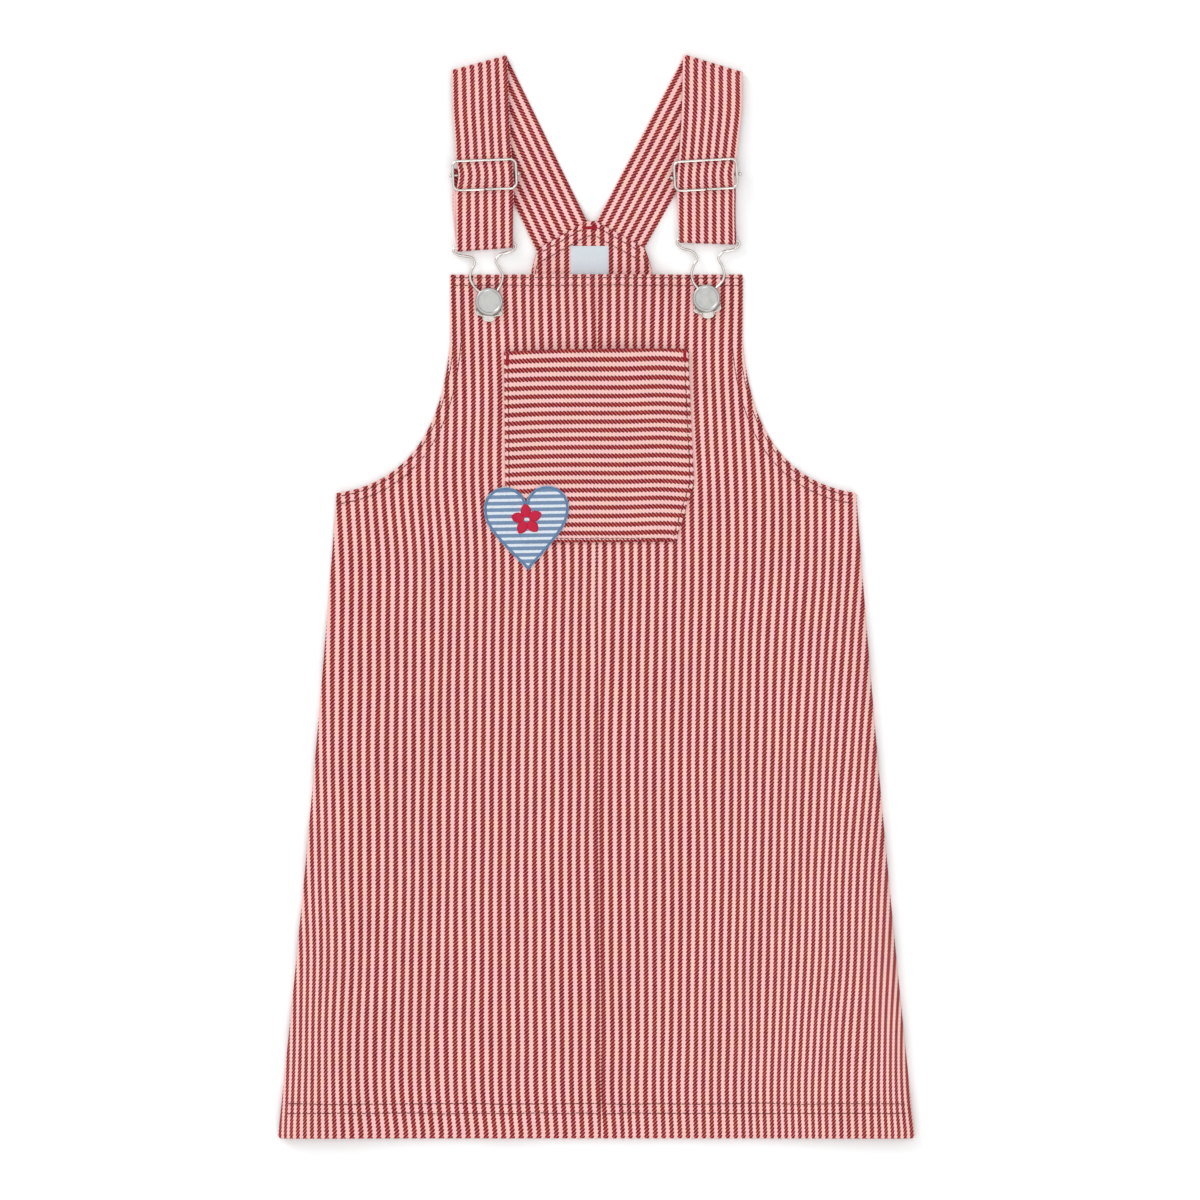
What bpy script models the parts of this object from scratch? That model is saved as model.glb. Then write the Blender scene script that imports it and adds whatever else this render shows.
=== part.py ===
"""A child's pinafore dress in striped cotton twill, laid flat on its back.

Metres, +Z up. +Y runs from the hem to the strap folds and +X to the right of
the laid dress. The floor is z = 0 and the origin is at the middle of the dress.

The back lies on the floor and the two fronts lie on it, meeting it at the side
seams. The back yoke shows above the bib, with the strap ends caught between it
and its facing. Each strap runs up from the yoke, folds over, comes down through
a wire slider, turns round the top bar of a wire hook and goes back up to the
slider. The hooks hang on two tack buttons on the bib.
"""
import math

import bmesh
import bpy
from mathutils import Vector

MM = 0.001

# ---------------------------------------------------------------- sizes in mm
HEM_Y = -336.0           # lower edge of the hem
HEM_HALF = 197.5         # half the laid width at the hem
UNDERARM_Y = 64.0        # top of the side seams
UNDERARM_HALF = 161.0    # half the laid width there
SIDE_HOLLOW = 1.7        # how far the A-line sides bow in
BIB_TOP_Y = 199.4
BIB_HALF = 90.8
ARMHOLE_TOP_Y = 158.0    # the bib's sides are straight above this
CORNER_RADIUS = 2.4      # hem and bib corners

WALL = 1.2               # one layer of twill, with its turnings
STRAP_WALL = 1.5         # a strap is a flat tube of twill
TRIM_WALL = 1.1          # facing
LABEL_WALL = 1.0
GAP = 0.3                # between pieces that are sewn together
PATCH_GAP = 0.4          # under the pocket and the heart, which lie over soft folds
EDGE_ROUND = 0.4         # worn corner along a free edge
EASE = 0.05              # spare height of the bib over the facing

FLOOR_LIFT = 0.4         # underside of the bib where no back lies below it
LAYER_LIFT = WALL + GAP  # underside of a piece that lies on the back
SIDE_LOFT = 3.0          # extra height of the front beside the side seams
SEAM_LEAN = 3.1          # the centre-front seam drifts right towards the hem
SEAM_TOP_X = -0.3

YOKE_X = -3.0            # the straps pull the yoke a little to the left
YOKE_SIDE_Y = 215.5      # lower ends of the yoke's sloping shoulders
YOKE_SIDE_HALF = 33.4
YOKE_BASE_Y = 202.0
YOKE_BASE_HALF = 37.5
YOKE_TOP_Y = 232.7
YOKE_TOP_HALF = 2.3
YOKE_SLOPE = (YOKE_TOP_Y - YOKE_SIDE_Y) / (YOKE_SIDE_HALF - YOKE_TOP_HALF)
FACING_INSET = 0.8
FACING_ROWS = (
    YOKE_TOP_Y - FACING_INSET, 229.5, 226.0, 222.0, 218.0, 214.5, 211.0, 207.0, YOKE_BASE_Y, 196.0, 190.0,
)
FACING_END_Y = FACING_ROWS[-1]     # hidden below the bib
LABEL_X = (-15.8, 8.4)
LABEL_Y = (190.6, 216.5)

# Bezier handles of the armhole edges, as (half width, y)
FRONT_ARMHOLE = ((BIB_HALF, ARMHOLE_TOP_Y), (93.5, 124.0), (104.0, 72.0), (UNDERARM_HALF, UNDERARM_Y))
BACK_ARMHOLE = ((YOKE_BASE_HALF, YOKE_BASE_Y), (39.0, 120.0), (98.0, 74.0), (UNDERARM_HALF, UNDERARM_Y))

# Soft folds of the laid fronts: middle x, y, lean from upright in degrees,
# half length, half width, height
FOLDS = (
    (-158.0, -262.0, 2.0, 120.0, 15.0, 0.9),
    (-112.0, -150.0, -4.0, 150.0, 20.0, 0.8),
    (-62.0, -285.0, 3.0, 110.0, 17.0, 1.1),
    (-24.0, -60.0, 4.0, 110.0, 15.0, 0.8),
    (27.0, -95.0, -7.0, 150.0, 16.0, 1.1),
    (78.0, -240.0, -5.0, 130.0, 19.0, 1.2),
    (122.0, -80.0, -9.0, 130.0, 18.0, 0.8),
    (151.0, -255.0, -8.0, 110.0, 14.0, 0.9),
    (-118.0, 12.0, -28.0, 70.0, 14.0, 0.7),
    (120.0, 20.0, 30.0, 70.0, 14.0, 0.7),
)

# Pocket corners, clockwise from the top left, as (x, y)
POCKET_TOP = ((-56.7, 151.7), (56.7, 153.3))
POCKET_SIDE = ((-55.5, 67.1), (60.5, 70.5))
POCKET_BOTTOM = ((-45.6, 33.2), (49.3, 33.8))

HEART_MIDDLE = (-43.2, 46.0)
HEART_TILT = 1.8         # degrees, the tip swings to the right
LOBE_RADIUS = 13.3
LOBE_SPREAD = 13.0       # from the heart's axis to the middle of a lobe
LOBE_RISE = 8.7          # from the heart's middle to the middle of a lobe
LOBE_END_TURN = -11.0    # degrees below level where a lobe runs into the side
# Bezier handles of the heart's side below the lobe, as (across, up)
HEART_SIDE = ((26.1, 6.2), (25.8, -2.5), (16.7, -12.4), (0.0, -29.7))

WIRE_RADIUS = 0.7
SLIDER_CORNER = 3.7
SLIDER_HEIGHT = 18.1     # between the middles of the long wires
BALL_RADIUS = 1.1
FOLD_RADIUS = 1.35       # of the middle of the strap at its fold
HOOK_TURN = WIRE_RADIUS + GAP + STRAP_WALL / 2
HOOK_STEP = 1.7          # length of one straight piece of the hook's wire
BUTTON_RADIUS = 8.5
SHANK_RADIUS = 2.8

# Heights of the middle of the strap or wire above the floor
BACK_LEG_Z = STRAP_WALL / 2
YOKE_LEG_Z = LAYER_LIFT + STRAP_WALL / 2
FOLD_TOP_Z = BACK_LEG_Z + 2 * FOLD_RADIUS
RETURN_Z = 2.55
OUTER_Z = 4.4
BAR_Z = 4.45
BULGE_Z = 6.2
FRAME_Z = 6.15
HOOK_Z = 2.7
PLATE_Z = FLOOR_LIFT + WALL + GAP
PLATE_WALL = 0.9
CAP_Z = HOOK_Z + WIRE_RADIUS + GAP

# Each strap: rows run from the yoke over the fold and down to the hook, as
# inner edge x, y, outer edge x, y and height of the middle of the cloth
STRAPS = {
    "left": {
        "yoke": ((-3.8, 228.3), (-35.3, 209.8)),
        "fold": ((-55.2, 333.4), (-89.6, 324.0)),
        "leg": (
            (-54.0, 303.5, -89.0, 300.0, 3.55),
            (-52.8, 282.0, -87.8, 280.5, 3.90),
            (-52.7, 271.0, -87.4, 269.7, OUTER_Z),
            (-52.6, 262.1, -85.6, 260.9, BULGE_Z),
            (-52.3, 252.7, -86.6, 251.3, OUTER_Z),
            (-52.0, 238.0, -86.7, 236.3, OUTER_Z),
            (-51.9, 218.4, -86.6, 215.9, HOOK_Z + HOOK_TURN),
        ),
        "return": (
            (-52.2, 218.4, -86.9, 215.9, HOOK_Z - HOOK_TURN),
            (-53.2, 232.0, -88.4, 230.0, 1.2),
            (-53.8, 242.0, -88.9, 240.5, RETURN_Z),
            (-53.8, 263.0, -88.9, 261.5, RETURN_Z),
        ),
    },
    "right": {
        "yoke": ((-2.2, 228.3), (27.5, 211.7)),
        "fold": ((53.6, 334.0), (90.5, 322.8)),
        "leg": (
            (53.0, 303.0, 90.2, 300.0, 3.55),
            (52.0, 284.0, 88.6, 283.0, 3.90),
            (51.2, 269.0, 86.6, 271.0, OUTER_Z),
            (50.6, 259.5, 85.2, 261.5, BULGE_Z),
            (50.2, 251.3, 86.6, 253.2, OUTER_Z),
            (50.3, 238.0, 87.3, 238.0, OUTER_Z),
            (51.8, 221.5, 87.1, 220.3, HOOK_Z + HOOK_TURN),
        ),
        "return": (
            (51.6, 221.5, 86.9, 220.3, HOOK_Z - HOOK_TURN),
            (50.6, 233.0, 86.2, 233.0, 1.2),
            (49.9, 244.0, 85.6, 245.0, RETURN_Z),
            (49.9, 260.5, 85.6, 262.5, RETURN_Z),
        ),
    },
}

# Each slider: middle, width between the middles of the short wires, tilt in
# degrees, and the ends of its centre bar
SLIDERS = {
    "left": {"middle": (-69.3, 261.1), "width": 39.2, "tilt": 2.1, "bar": ((-90.4, 260.6), (-48.3, 261.9))},
    "right": {"middle": (67.65, 261.05), "width": 38.7, "tilt": 3.1, "bar": ((46.8, 259.1), (89.0, 261.7))},
}

# Each hook's wire, from one end below the button round the top bar to the other
HOOKS = {
    "left": (
        (-71.6, 188.0), (-75.6, 191.6), (-78.3, 197.4), (-77.4, 202.2), (-75.4, 206.6), (-76.8, 209.5),
        (-81.4, 210.7), (-86.5, 211.9), (-88.6, 213.8), (-88.4, 215.2), (-87.0, 215.92),
        (-85.2, 216.05), (-53.3, 218.35), (-51.5, 218.48), (-50.2, 217.7), (-50.2, 216.2), (-52.2, 214.3),
        (-60.1, 211.3), (-62.4, 208.2), (-60.7, 204.2),
        (-58.1, 199.4), (-58.8, 194.4), (-61.8, 188.7),
    ),
    "right": (
        (63.1, 190.5), (60.1, 194.6), (58.9, 200.2), (60.4, 205.2), (62.4, 209.3), (60.1, 213.1),
        (52.1, 216.3), (50.0, 218.7), (50.1, 220.5), (51.3, 221.5),
        (53.1, 221.44), (85.8, 220.34), (87.5, 220.26), (88.7, 219.2), (88.4, 217.4), (86.6, 215.7),
        (77.6, 212.6), (75.6, 209.6), (77.8, 205.0),
        (79.2, 200.2), (78.2, 195.6), (73.6, 190.5),
    ),
}

# Each button: middle, and turn of the keyhole plate below it in degrees
BUTTONS = {
    "left": {"middle": (-66.5, 182.6), "turn": -2.0},
    "right": {"middle": (68.1, 184.6), "turn": 7.0},
}

# Scalloped edge of the keyhole plate: angle from straight down, radius
PLATE_EDGE = (
    (0.0, 12.6), (14.0, 12.2), (26.0, 10.2), (36.0, 10.9), (48.0, 11.3), (60.0, 9.6), (74.0, 7.6),
    (100.0, 6.6), (128.0, 6.2), (146.0, 5.6), (163.0, 4.9), (180.0, 4.7),
)
PLATE_HOLE = 3.4


# ------------------------------------------------------------------- outline
def blend(value, start, end):
    """Smooth step from 0 at start to 1 at end."""
    share = min(max((value - start) / (end - start), 0.0), 1.0)
    return share * share * (3.0 - 2.0 * share)


def mix(first, second, share):
    return first + (second - first) * share


def bezier_half_width(curve, y):
    """Half width at height y of a Bezier edge that only falls."""
    low, high = 0.0, 1.0
    for _ in range(40):
        middle = (low + high) / 2
        if bezier_value(curve, 1, middle) > y:
            low = middle
        else:
            high = middle
    return bezier_value(curve, 0, low)


def bezier_value(curve, axis, share):
    rest = 1.0 - share
    weights = (rest**3, 3 * rest**2 * share, 3 * rest * share**2, share**3)
    return sum(weight * point[axis] for weight, point in zip(weights, curve))


def side_half_width(y):
    """Half the laid width at the A-line side seams."""
    share = (UNDERARM_Y - y) / (UNDERARM_Y - HEM_Y)
    return mix(UNDERARM_HALF, HEM_HALF, share) - 4 * SIDE_HOLLOW * share * (1 - share)


def corner_trim(distance):
    """How far a rounded corner stands in, this far from the edge."""
    inside = max(CORNER_RADIUS - distance, 0.0)
    return CORNER_RADIUS - math.sqrt(max(CORNER_RADIUS**2 - inside**2, 0.0))


def front_half_width(y):
    if y > ARMHOLE_TOP_Y:
        return BIB_HALF - corner_trim(BIB_TOP_Y - y)
    if y > UNDERARM_Y:
        return bezier_half_width(FRONT_ARMHOLE, y)
    return side_half_width(y) - corner_trim(y - HEM_Y)


def back_half_width(y):
    if y > YOKE_SIDE_Y:
        return YOKE_TOP_HALF + (YOKE_TOP_Y - y) / YOKE_SLOPE
    if y > YOKE_BASE_Y:
        return mix(YOKE_BASE_HALF, YOKE_SIDE_HALF, (y - YOKE_BASE_Y) / (YOKE_SIDE_Y - YOKE_BASE_Y))
    if y > UNDERARM_Y:
        return bezier_half_width(BACK_ARMHOLE, y)
    return side_half_width(y) - corner_trim(y - HEM_Y)


def back_middle(y):
    """The yoke's sideways pull fades out towards the underarm."""
    return YOKE_X * blend(y, UNDERARM_Y, YOKE_BASE_Y)


def seam_x(y):
    """Centre-front seam."""
    return SEAM_TOP_X + SEAM_LEAN * (BIB_TOP_Y - y) / (BIB_TOP_Y - HEM_Y)


# ------------------------------------------------------------------- heights
def fold_height(x, y):
    """Sum of the soft folds at a point of the fronts."""
    height = 0.0
    for fold_x, fold_y, lean, half_length, half_width, top in FOLDS:
        angle = math.radians(lean)
        along = -(x - fold_x) * math.sin(angle) + (y - fold_y) * math.cos(angle)
        across = (x - fold_x) * math.cos(angle) + (y - fold_y) * math.sin(angle)
        fade = 1.0 - blend(abs(along), 0.35 * half_length, half_length)
        height += top * fade * math.exp(-((across / half_width) ** 2))
    return height


def side_loft(y):
    return SIDE_LOFT * blend(UNDERARM_Y - y, 0.0, 130.0)


def side_seam_z(y):
    return (LAYER_LIFT + WALL + side_loft(y)) / 2


def front_lift(x, y):
    """Height of the underside of the fronts."""
    beyond_back = abs(x - back_middle(y)) - back_half_width(min(y, YOKE_BASE_Y))
    lift = mix(LAYER_LIFT, FLOOR_LIFT, blend(beyond_back, 5.0, 17.0))
    over_yoke = 1.0 - blend(abs(x - YOKE_X), YOKE_BASE_HALF + 1.5, YOKE_BASE_HALF + 17.0)
    over_yoke *= blend(y, FACING_END_Y - 20.0, FACING_END_Y - 1.0)
    over_label = 1.0 - blend(abs(x - YOKE_X), 14.5, 32.0)
    over_label *= blend(y, LABEL_Y[0] - 18.0, LABEL_Y[0] - 1.0)
    lift += over_yoke * (TRIM_WALL + GAP + EASE) + over_label * (LABEL_WALL + GAP)
    share = abs(x) / side_half_width(min(y, UNDERARM_Y))
    lift += side_loft(y) * blend(share, 0.45, 0.93)
    return lift + fold_height(x, y)


def front_top(x, y):
    return front_lift(x, y) + WALL


def yoke_depth(x, y):
    """Distance straight down from the sloping top edge of the yoke."""
    reach = max(abs(x - YOKE_X) - YOKE_TOP_HALF, 0.0)
    return YOKE_TOP_Y - reach * YOKE_SLOPE - y


def facing_lift(x, y):
    """Underside of the facing: over the strap ends, then down on the back."""
    over_straps = LAYER_LIFT + STRAP_WALL + GAP
    return mix(over_straps, LAYER_LIFT, blend(yoke_depth(x, y), 7.5, 13.0))


def pocket_edge(y):
    """Left and right edge of the pocket at height y."""
    edges = []
    for side in (0, 1):
        top, bend, low = POCKET_TOP[side], POCKET_SIDE[side], POCKET_BOTTOM[side]
        if y > bend[1]:
            edges.append(mix(bend[0], top[0], (y - bend[1]) / (top[1] - bend[1])))
        else:
            edges.append(mix(low[0], bend[0], (y - low[1]) / (bend[1] - low[1])))
    return edges


def pocket_cover(x, y):
    """1 over the pocket and just round it, falling to 0 further out."""
    left, right = pocket_edge(min(max(y, POCKET_BOTTOM[0][1]), POCKET_TOP[0][1]))
    outside_x = max(left - x, x - right, 0.0)
    outside_y = max(POCKET_BOTTOM[0][1] - y, y - POCKET_TOP[0][1], 0.0)
    return 1.0 - blend(math.hypot(outside_x, outside_y), 2.5, 9.5)


def patch_lift(x, y):
    """Underside of the heart patch, over the pocket's corner and the front."""
    return front_top(x, y) + PATCH_GAP + pocket_cover(x, y) * (WALL + PATCH_GAP)


# -------------------------------------------------------------- mesh building
def make_material(name, colour, roughness, metallic=0.0):
    material = bpy.data.materials.new(name)
    material.use_nodes = True
    shader = material.node_tree.nodes["Principled BSDF"]
    shader.inputs["Base Color"].default_value = (*colour, 1.0)
    shader.inputs["Roughness"].default_value = roughness
    shader.inputs["Metallic"].default_value = metallic
    return material


def add_object(name, vertices, faces, material, smooth_below=40.0):
    """A closed object from points in millimetres."""
    mesh = bpy.data.meshes.new(name)
    mesh.from_pydata([Vector(point) * MM for point in vertices], [], faces)
    build = bmesh.new()
    build.from_mesh(mesh)
    bmesh.ops.recalc_face_normals(build, faces=build.faces)
    build.to_mesh(mesh)
    build.free()
    mesh.shade_smooth()
    mesh.set_sharp_from_angle(angle=math.radians(smooth_below))
    thing = bpy.data.objects.new(name, mesh)
    thing.data.materials.append(material)
    bpy.context.scene.collection.objects.link(thing)
    return thing


def wall_from_sheets(name, upper, lower, material):
    """Closed wall between two grids of points with the same rows and columns."""
    rows, columns = len(upper), len(upper[0])
    vertices = [point for row in upper for point in row] + [point for row in lower for point in row]
    below = rows * columns
    faces = []
    for i in range(rows - 1):
        for j in range(columns - 1):
            corner = i * columns + j
            quad = (corner, corner + 1, corner + columns + 1, corner + columns)
            faces.append(quad)
            faces.append(tuple(below + index for index in reversed(quad)))
    rim = list(range(columns))
    rim += [i * columns + columns - 1 for i in range(1, rows)]
    rim += [(rows - 1) * columns + j for j in range(columns - 2, -1, -1)]
    rim += [i * columns for i in range(rows - 2, 0, -1)]
    for first, second in zip(rim, rim[1:] + rim[:1]):
        faces.append((first, second, below + second, below + first))
    return add_object(name, vertices, faces, material)


def tube(name, path, radii, sides, material, closed=False):
    """Round bar along a path, its ends closed by fans."""
    count = len(path)
    vertices, faces = [], []
    for i, point in enumerate(path):
        before = path[(i - 1) % count] if closed or i > 0 else point
        after = path[(i + 1) % count] if closed or i < count - 1 else point
        along = (Vector(after) - Vector(before)).normalized()
        side = along.cross(Vector((0, 0, 1))).normalized()
        up = side.cross(along)
        for k in range(sides):
            turn = 2 * math.pi * k / sides
            vertices.append(Vector(point) + radii[i] * (math.cos(turn) * side + math.sin(turn) * up))
    for i in range(count if closed else count - 1):
        for k in range(sides):
            here, there = i * sides, ((i + 1) % count) * sides
            after = (k + 1) % sides
            faces.append((here + k, here + after, there + after, there + k))
    if not closed:
        faces.append(tuple(range(sides)))
        faces.append(tuple(range((count - 1) * sides, count * sides)))
    return add_object(name, vertices, faces, material)


def lathe(name, profile, sides, middle, material):
    """Turned solid: profile as (radius, z), from the axis to the axis."""
    vertices, faces, rings = [], [], []
    for radius, z in profile:
        ring = []
        for k in range(sides if radius > 0 else 1):
            turn = 2 * math.pi * k / sides
            vertices.append((middle[0] + radius * math.cos(turn), middle[1] + radius * math.sin(turn), z))
            ring.append(len(vertices) - 1)
        rings.append(ring)
    for first, second in zip(rings, rings[1:]):
        for k in range(sides):
            after = (k + 1) % sides
            corners = [first[k % len(first)], first[after % len(first)]]
            corners += [second[after % len(second)], second[k % len(second)]]
            faces.append(tuple(dict.fromkeys(corners)))
    return add_object(name, vertices, faces, material)


def smooth_path(points, spacing):
    """Smooth curve through the given points, whatever the distance between them."""
    points = [Vector(point) for point in points]
    tangents = [(points[1] - points[0]).normalized()]
    for before, point, after in zip(points, points[1:], points[2:]):
        back, forth = point - before, after - point
        tangent = back.normalized() * forth.length + forth.normalized() * back.length
        tangents.append(tangent / (back.length + forth.length))
    tangents.append((points[-1] - points[-2]).normalized())
    path = []
    for i in range(len(points) - 1):
        reach = (points[i + 1] - points[i]).length
        steps = max(1, round(reach / spacing))
        for step in range(steps):
            t = step / steps
            place = points[i] * (2 * t**3 - 3 * t**2 + 1) + points[i + 1] * (3 * t**2 - 2 * t**3)
            place += reach * (tangents[i] * (t**3 - 2 * t**2 + t) + tangents[i + 1] * (t**3 - t**2))
            path.append(place)
    path.append(points[-1])
    return path


# --------------------------------------------------------------- cloth pieces
FRONT_ROWS = (
    BIB_TOP_Y, 198.3, 193.0, 187.0, 180.0, 172.0, 163.0, 154.0, 145.0, 136.0, 127.0, 118.0, 109.0, 101.0,
    93.0, 86.0, 80.0, 75.0, 71.0, 68.0, 65.8, UNDERARM_Y,
)
BACK_ROWS = (
    YOKE_TOP_Y, 229.5, 225.0, 220.0, YOKE_SIDE_Y, 209.0, YOKE_BASE_Y, 185.0, 168.0, 151.0, 136.0, 122.0,
    110.0, 99.0, 90.0, 82.0, 76.0, 71.0, 67.0, UNDERARM_Y,
)
SKIRT_ROWS = (
    59.0, 50.0, 36.0, 14.0, -10.0, -36.0, -63.0, -90.0, -117.0, -144.0, -171.0, -198.0, -225.0, -252.0,
    -279.0, -305.0, -326.0, HEM_Y + CORNER_RADIUS, HEM_Y + 0.7, HEM_Y,
)
ROLL_TURNS = (25.0, 50.0, 72.0, 90.0)


def seamed(y):
    """0 along the armholes, 1 where the side seam joins front and back."""
    return blend(UNDERARM_Y - y, 0.0, 12.0)


def front_section(y, side, columns):
    """Upper and lower points of one front across the dress at height y."""
    joined = seamed(y)
    roll = mix(1.0, 14.0, joined)
    start = seam_x(y) + side * GAP / 2
    flat_end = side * (front_half_width(y) - roll)
    upper, lower = [], []
    for j in range(columns + 1):
        x = mix(start, flat_end, j / columns)
        upper.append((x, y, front_top(x, y)))
        lower.append((x, y, front_lift(x, y)))
    top = front_top(flat_end, y)
    seam = side_seam_z(y) + GAP / 2
    outer_end = mix(top - EDGE_ROUND, seam, joined)
    inner_end = mix(top - WALL, seam, joined)
    for turn in ROLL_TURNS:
        angle = math.radians(turn)
        reach = side * math.sin(angle)
        rise = math.cos(angle)
        upper.append((flat_end + roll * reach, y, mix(outer_end, top, rise)))
        lower.append((flat_end + (roll - joined * WALL) * reach, y, mix(inner_end, top - WALL, rise)))
    return upper, lower


def make_front(name, side, material):
    sections = [front_section(y, side, 12) for y in FRONT_ROWS + SKIRT_ROWS]
    upper = [section[0] for section in sections]
    lower = [section[1] for section in sections]
    return wall_from_sheets(name, upper, lower, material)


def back_section(y):
    """Upper and lower points of the back across the dress at height y."""
    joined = seamed(y)
    half, middle = back_half_width(y), back_middle(y)
    roll = mix(min(1.0, half / 2), 8.0, joined)
    seam = side_seam_z(y) - GAP / 2
    edge = []
    for turn in reversed(ROLL_TURNS):
        angle = math.radians(turn)
        fall = 1 - math.cos(angle)
        outer = (half - roll + roll * math.sin(angle), mix(0.0, mix(EDGE_ROUND, seam, joined), fall))
        inner_x = half - roll + (roll - joined * WALL) * math.sin(angle)
        edge.append((outer, (inner_x, mix(WALL, mix(WALL, seam, joined), fall))))
    upper = [(middle - inner[0], y, inner[1]) for outer, inner in edge]
    lower = [(middle - outer[0], y, outer[1]) for outer, inner in edge]
    for share in (-1.0, -0.6, -0.2, 0.2, 0.6, 1.0):
        x = middle + share * (half - roll)
        upper.append((x, y, WALL))
        lower.append((x, y, 0.0))
    upper += [(middle + inner[0], y, inner[1]) for outer, inner in reversed(edge)]
    lower += [(middle + outer[0], y, outer[1]) for outer, inner in reversed(edge)]
    return upper, lower


def make_back(material):
    sections = [back_section(y) for y in BACK_ROWS + SKIRT_ROWS]
    upper = [section[0] for section in sections]
    lower = [section[1] for section in sections]
    return wall_from_sheets("back", upper, lower, material)


def make_facing(material):
    """Facing of the yoke, over the strap ends."""
    upper, lower = [], []
    for y in FACING_ROWS:
        half = back_half_width(y) - FACING_INSET
        shares = [-1.0 + 0.2 * step for step in range(11)]
        row = [(YOKE_X + share * half, y) for share in shares]
        lower.append([(x, y, facing_lift(x, y)) for x, y in row])
        upper.append([(x, y, facing_lift(x, y) + TRIM_WALL) for x, y in row])
    return wall_from_sheets("back_facing", upper, lower, material)


def make_label(material):
    """Plain woven label on the facing."""
    upper, lower = [], []
    for i in range(5):
        y = mix(LABEL_Y[1], LABEL_Y[0], i / 4)
        row = [(mix(*LABEL_X, j / 4), y) for j in range(5)]
        lower.append([(x, y, facing_lift(x, y) + TRIM_WALL + GAP) for x, y in row])
        upper.append([(x, y, z + LABEL_WALL) for x, y, z in lower[-1]])
    return wall_from_sheets("label", upper, lower, material)


def make_pocket(material):
    """Patch pocket over the centre-front seam."""
    upper, lower = [], []
    heights = [mix(POCKET_TOP[0][1], POCKET_SIDE[0][1], i / 8) for i in range(9)]
    heights += [mix(POCKET_SIDE[0][1], POCKET_BOTTOM[0][1], i / 4) for i in range(1, 5)]
    for y in heights:
        left, right = pocket_edge(y)
        row = [(mix(left, right, j / 14), y) for j in range(15)]
        lower.append([(x, y, front_top(x, y) + PATCH_GAP) for x, y in row])
        upper.append([(x, y, z + WALL) for x, y, z in lower[-1]])
    return wall_from_sheets("pocket", upper, lower, material)


def heart_outline():
    """Points once round the heart, from its notch over the right lobe."""
    notch_turn = math.degrees(math.acos(-LOBE_SPREAD / LOBE_RADIUS))
    half = []
    for step in range(12):
        turn = math.radians(mix(notch_turn, LOBE_END_TURN, step / 12))
        half.append((LOBE_SPREAD + LOBE_RADIUS * math.cos(turn), LOBE_RISE + LOBE_RADIUS * math.sin(turn)))
    for step in range(9):
        half.append((bezier_value(HEART_SIDE, 0, step / 8), bezier_value(HEART_SIDE, 1, step / 8)))
    half[0] = (0.0, half[0][1])
    tilt = math.radians(HEART_TILT)
    outline = []
    for x, y in half + [(-x, y) for x, y in half[-2:0:-1]]:
        outline.append((x * math.cos(tilt) - y * math.sin(tilt), x * math.sin(tilt) + y * math.cos(tilt)))
    return outline


def make_heart(material):
    """Heart patch sewn over the pocket's lower corner."""
    outline = heart_outline()
    points = len(outline)
    scales = (1.0, 0.8, 0.58, 0.34)
    flat = []
    for scale in scales:
        for x, y in outline:
            flat.append((HEART_MIDDLE[0] + scale * x, HEART_MIDDLE[1] + scale * y))
    flat.append(HEART_MIDDLE)
    lower = [(x, y, patch_lift(x, y)) for x, y in flat]
    upper = [(x, y, z + WALL) for x, y, z in lower]
    below, centre = len(flat), len(flat) - 1
    faces = []
    for k in range(points):
        after = (k + 1) % points
        for ring in range(len(scales) - 1):
            outer, inner = ring * points, (ring + 1) * points
            quad = (outer + k, outer + after, inner + after, inner + k)
            faces.append(quad)
            faces.append(tuple(below + index for index in reversed(quad)))
        last = (len(scales) - 1) * points
        faces.append((last + k, last + after, centre))
        faces.append((below + last + after, below + last + k, below + centre))
        faces.append((k, below + k, below + after, after))
    return add_object("heart_patch", upper + lower, faces, material)


# -------------------------------------------------------------------- straps
def half_turn(inner, outer, middle_z, radius, outward, up):
    """Rulings round a half turn about a line, on its outward side."""
    rulings = []
    for step in range(1, 8):
        angle = math.pi * (step / 8 - 0.5) * up
        shift = Vector((*outward, 0.0)) * radius * math.cos(angle)
        lift = middle_z + radius * math.sin(angle)
        rulings.append([Vector((*inner, lift)) + shift, Vector((*outer, lift)) + shift])
    return rulings


def outward_of(inner, outer, up):
    """Level unit vector square to a line, towards +Y or -Y."""
    along = Vector((outer[0] - inner[0], outer[1] - inner[1])).normalized()
    square = Vector((-along.y, along.x))
    return square * up * (1 if square.y > 0 else -1)


def strap_rulings(sizes):
    """Middle surface of one strap as pairs of edge points."""
    rulings = []
    yoke_inner, yoke_outer = (Vector(point) for point in sizes["yoke"])
    fold_inner, fold_outer = (Vector(point) for point in sizes["fold"])
    length = ((fold_inner + fold_outer) - (yoke_inner + yoke_outer)).length / 2
    for distance in (0.0, 6.0, 11.5, 14.0, 16.5, 19.0, 21.5, 24.0, 45.0, 70.0, 95.0, length):
        share = distance / length
        z = mix(YOKE_LEG_Z, BACK_LEG_Z, blend(distance, 11.5, 24.0))
        inner, outer = yoke_inner.lerp(fold_inner, share), yoke_outer.lerp(fold_outer, share)
        rulings.append([Vector((*inner, z)), Vector((*outer, z))])
    turn_z = BACK_LEG_Z + FOLD_RADIUS
    outward = outward_of(fold_inner, fold_outer, 1)
    rulings += half_turn(fold_inner, fold_outer, turn_z, FOLD_RADIUS, outward, 1)
    rows = ((*fold_inner, *fold_outer, FOLD_TOP_Z), *sizes["leg"])
    rulings += stretch_between(rows)
    last = sizes["leg"][-1]
    inner, outer = Vector(last[0:2]), Vector(last[2:4])
    rulings += half_turn(inner, outer, HOOK_Z, HOOK_TURN, outward_of(inner, outer, -1), -1)
    rulings += stretch_between(sizes["return"])
    return rulings


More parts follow.
